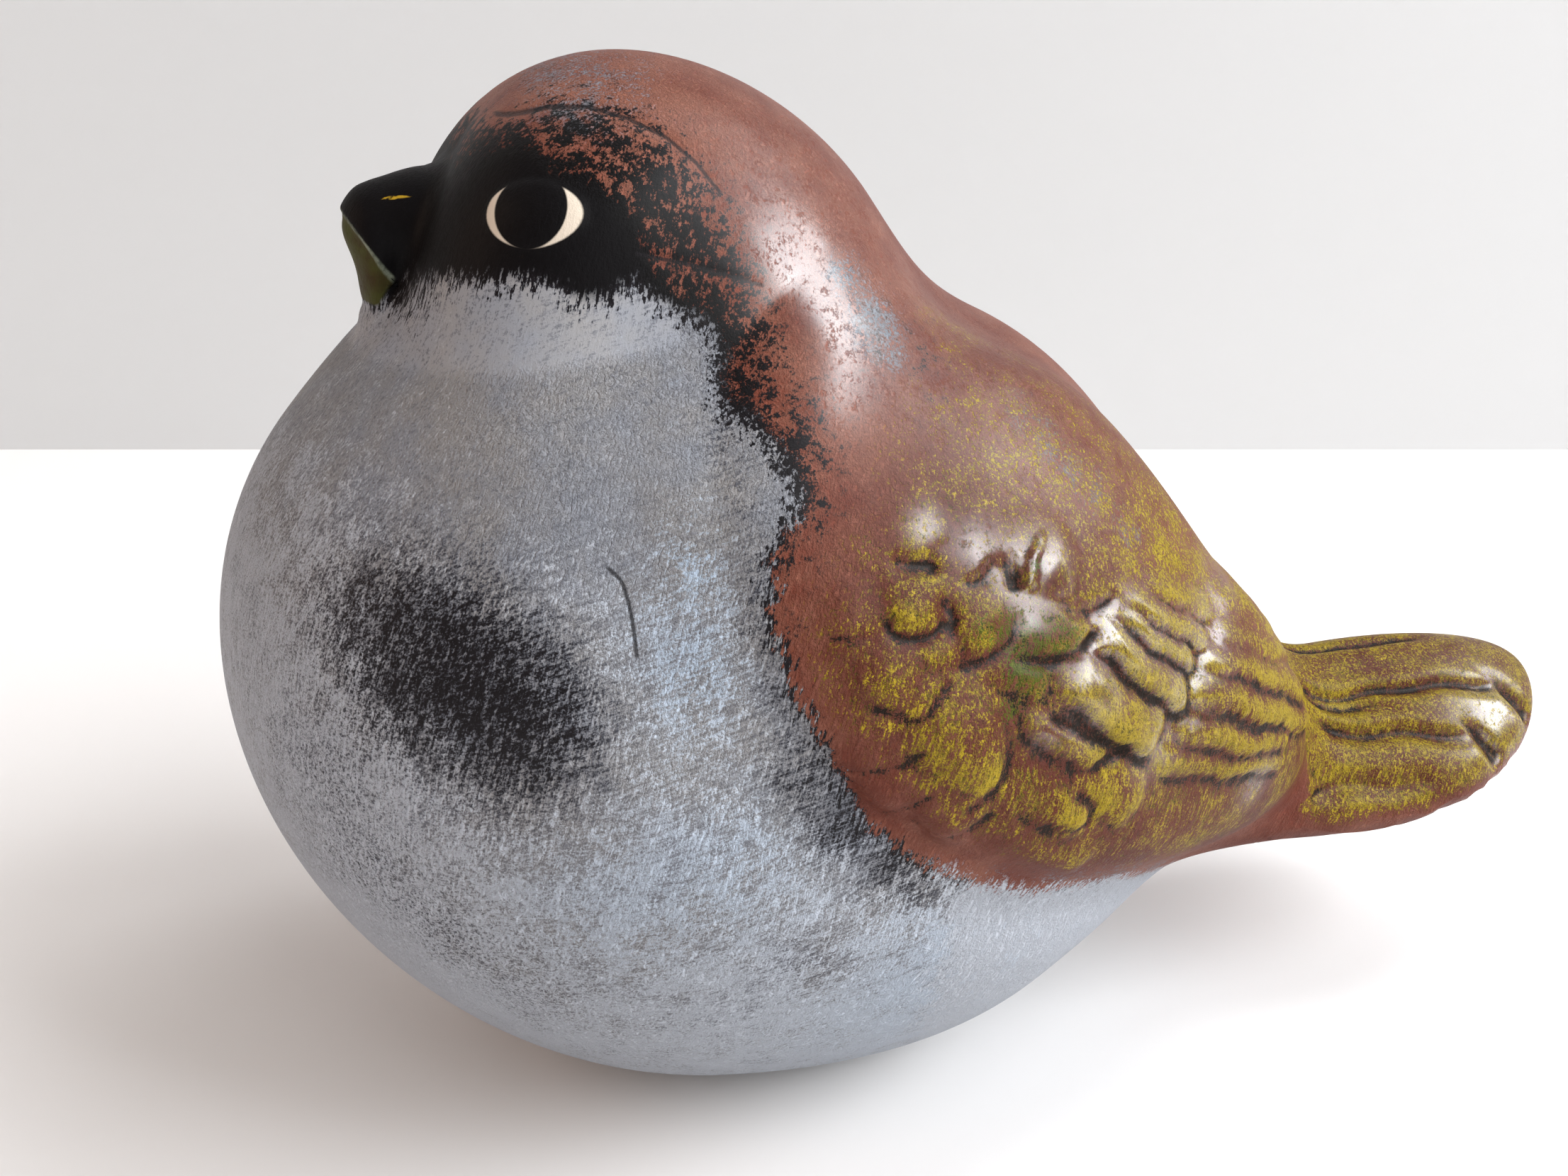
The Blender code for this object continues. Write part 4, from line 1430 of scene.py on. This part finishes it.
        # Painted highlight: a pale line along the edge of the upper beak over the crease.
        rim = field("mouth").unsigned().ramp(0.5, 0.1) * marks["clumps"].between(0.1, 0.8)
        beak = blend(rim, beak, Paint.EDGE_HIGHLIGHT)
        beak = blend(field("nostril").ramp(0.0, 0.4), beak, Paint.NOSTRIL)
        colour = blend(field("beak").ramp(-0.4, 0.4), colour, beak)
        colour = blend(field("white").ramp(-0.12, 0.12), colour, Paint.EYE_WHITE)
        pupil = field("pupil").ramp(-0.12, 0.12) * field("white").ramp(-3.0, -2.0)
        return blend(pupil, colour, Paint.BLACK)

    def bump(self, distance: float) -> Signal:
        """Brush marks in the varnished paint, calmer on the glossy black of the face."""
        field = self.nodes.field
        smooth = field("mask").ramp(-1.0, 2.0).larger(field("beak").ramp(-1.0, 1.0))
        wrinkles = self.marks["clumps"] * field("plumage").between(0.5, 1.9)
        height = (self.mixed(fine=0.6, grain=0.35) + wrinkles) * (1.0 - smooth * 0.9)
        bump = self.nodes.add("ShaderNodeBump")
        self.nodes.feed(bump, {"Strength": 1.0, "Distance": distance, "Height": height})
        return Signal(self.nodes, bump.outputs[0])


@dataclass(frozen=True)
class PaintedCeramic:
    """The finish of the whole bird: dry-brushed paints over a dark undercoat, under uneven varnish."""

    marks: BrushMarks = BrushMarks()
    covers: Covers = Covers()
    roughness: float = 0.58
    base_specular: float = 0.06
    thin_ior: float = 1.42
    thick_ior: float = 2.0
    thin_varnish: float = 0.22
    thick_varnish: float = 1.0
    mask_varnish: float = 0.15
    thin_roughness: float = 0.36
    thick_roughness: float = 0.17
    brush_bump: float = 0.0003

    def material(self) -> bpy.types.Material:
        """Build the node material.

        Returns:
            The material.
        """
        material = bpy.data.materials.new("painted_ceramic")
        material.use_nodes = True
        nodes = Nodes(material.node_tree)
        layers = PaintLayers(nodes, self.marks, self.covers)
        gloss = nodes.field("gloss") * layers.mixed(clumps=0.4, fine=0.35, grain=0.25).ramp(-0.2, 0.5)
        gloss = gloss * nodes.field("groove").ramp(0.9, 0.2)
        varnish = gloss.between(self.thin_varnish, self.thick_varnish)
        nodes.feed(material.node_tree.nodes["Principled BSDF"], {
            "Base Color": layers.colour(),
            "Roughness": layers.marks["fine"].swing(0.12) + self.roughness,
            "Specular IOR Level": self.base_specular,
            "Coat Weight": varnish * nodes.field("mask").ramp(-3.0, 3.0).between(1.0, self.mask_varnish),
            "Coat Roughness": gloss.between(self.thin_roughness, self.thick_roughness),
            "Coat IOR": gloss.between(self.thin_ior, self.thick_ior),
            "Normal": layers.bump(self.brush_bump),
        })
        return material


@dataclass(frozen=True)
class Window:
    """A square light that faces the bird.

    The azimuth is in degrees round from the bird's left side towards its tail, and the elevation in degrees
    above the floor. Distance and side are in metres, the power is in watts, and the colour is linear.
    """

    name: str
    azimuth: float
    elevation: float
    side: float
    power: float
    distance: float = 3.2
    colour: tuple[float, float, float] = (1.0, 1.0, 1.0)


COOL = (0.94, 0.97, 1.0)
WARM = (1.0, 0.70, 0.53)


@dataclass
class Studio:
    """Plain pale floor and backdrop, soft window light from the right, and the camera."""

    aim: tuple[float, float, float] = (0.009, 0.0, 0.0787)
    distance: float = 0.290
    azimuth: float = -15.0
    elevation: float = 22.0
    width_angle: float = 48.0
    floor_half: float = 2.4
    wall_distance: float = 0.594
    floor_colour: tuple[float, float, float, float] = (0.82, 0.808, 0.80, 1.0)
    wall_colour: tuple[float, float, float, float] = (0.65, 0.655, 0.66, 1.0)
    room: tuple[float, float, float, float] = (1.0, 0.90, 0.82, 1.0)
    room_strength: float = 0.13
    windows: tuple[Window, ...] = (
        Window("window", azimuth=60.0, elevation=38.0, side=2.1, power=122.0, colour=COOL),
        Window("front_window", azimuth=26.0, elevation=30.0, side=1.8, power=42.0),
        Window("side_window", azimuth=92.0, elevation=24.0, side=1.5, power=52.0),
        Window("top_window", azimuth=120.0, elevation=55.0, side=0.6, power=7.0, distance=0.95, colour=COOL),
        Window("warm_fill", azimuth=-98.0, elevation=26.0, side=2.4, power=36.0, colour=WARM),
    )

    def build(self) -> None:
        """Add the stage, the lights, the world and the camera."""
        self.stage()
        self.lights()
        self.camera()

    @staticmethod
    def outward(azimuth: float, elevation: float) -> Vector:
        """Direction from the bird, in degrees round from its left side and above the floor."""
        turn, lift = math.radians(azimuth), math.radians(elevation)
        return Vector((math.sin(turn) * math.cos(lift), -math.cos(turn) * math.cos(lift), math.sin(lift)))

    def camera_place(self) -> Vector:
        """Where the camera stands."""
        return Vector(self.aim) + self.distance * self.outward(self.azimuth, self.elevation)

    def camera(self) -> None:
        """Add the camera."""
        place = self.camera_place()
        bpy.ops.object.camera_add(location=place)
        camera = bpy.context.object
        camera.rotation_euler = (Vector(self.aim) - place).to_track_quat("-Z", "Y").to_euler()
        camera.data.lens_unit = "FOV"
        camera.data.angle = math.radians(self.width_angle)
        camera.data.clip_start = 0.01
        bpy.context.scene.camera = camera

    def stage(self) -> None:
        """Add the floor and the backdrop behind it."""
        forward = -self.outward(self.azimuth, 0.0)
        foot = self.camera_place() + forward * self.wall_distance
        turn = math.atan2(-forward.x, forward.y)
        bpy.ops.object.select_all(action="DESELECT")
        bpy.ops.mesh.primitive_plane_add(size=2 * self.floor_half, location=(0.0, 0.0, 0.0))
        floor = bpy.context.object
        floor.name = "floor"
        floor.data.materials.append(self.plain("stage_floor", self.floor_colour))
        bpy.ops.mesh.primitive_plane_add(size=2 * self.floor_half, rotation=(math.radians(90), 0.0, turn),
                                         location=(foot.x, foot.y, self.floor_half))
        wall = bpy.context.object
        wall.name = "backdrop"
        wall.data.materials.append(self.plain("stage_backdrop", self.wall_colour))
        for piece in (floor, wall):
            bpy.ops.object.select_all(action="DESELECT")
            piece.select_set(True)
            bpy.context.view_layer.objects.active = piece
            bpy.ops.object.transform_apply(location=True, rotation=True, scale=True)

    @staticmethod
    def plain(name: str, colour: tuple[float, float, float, float]) -> bpy.types.Material:
        """A plain matt stage material."""
        material = bpy.data.materials.new(name)
        material.use_nodes = True
        shader = material.node_tree.nodes["Principled BSDF"]
        shader.inputs["Base Color"].default_value = colour
        shader.inputs["Roughness"].default_value = 0.9
        shader.inputs["Specular IOR Level"].default_value = 0.1
        return material

    def lights(self) -> None:
        """Add the windows at the right, a dim warm room at the left and all round."""
        for window in self.windows:
            out = self.outward(window.azimuth, window.elevation)
            bpy.ops.object.light_add(type="AREA", location=Vector(self.aim) + out * window.distance)
            light = bpy.context.object
            light.name = window.name
            light.rotation_euler = (-out).to_track_quat("-Z", "Y").to_euler()
            light.data.size = window.side
            light.data.energy = window.power
            light.data.color = window.colour
        world = bpy.data.worlds.new("dim_room")
        world.use_nodes = True
        backdrop = world.node_tree.nodes["Background"]
        backdrop.inputs["Color"].default_value = self.room
        backdrop.inputs["Strength"].default_value = self.room_strength
        bpy.context.scene.world = world
        bpy.context.scene.view_settings.view_transform = "Standard"


def main() -> None:
    """Build the bird and its stage, and report each piece."""
    logging.basicConfig(level=logging.INFO, format="%(name)s: %(message)s")
    studio = Studio()
    sculpt = Sculpt(BirdForm(), WingCarving(), TailCarving(), FaceCarving(), PaintMap())
    bird = sculpt.build()
    bird.data.materials.append(PaintedCeramic().material())
    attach(bird, "root")
    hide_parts(NODE)
    log.info("piece %s rides on root and stands for %s", bird.name, NODE)
    studio.build()


if __name__ == "__main__":
    main()
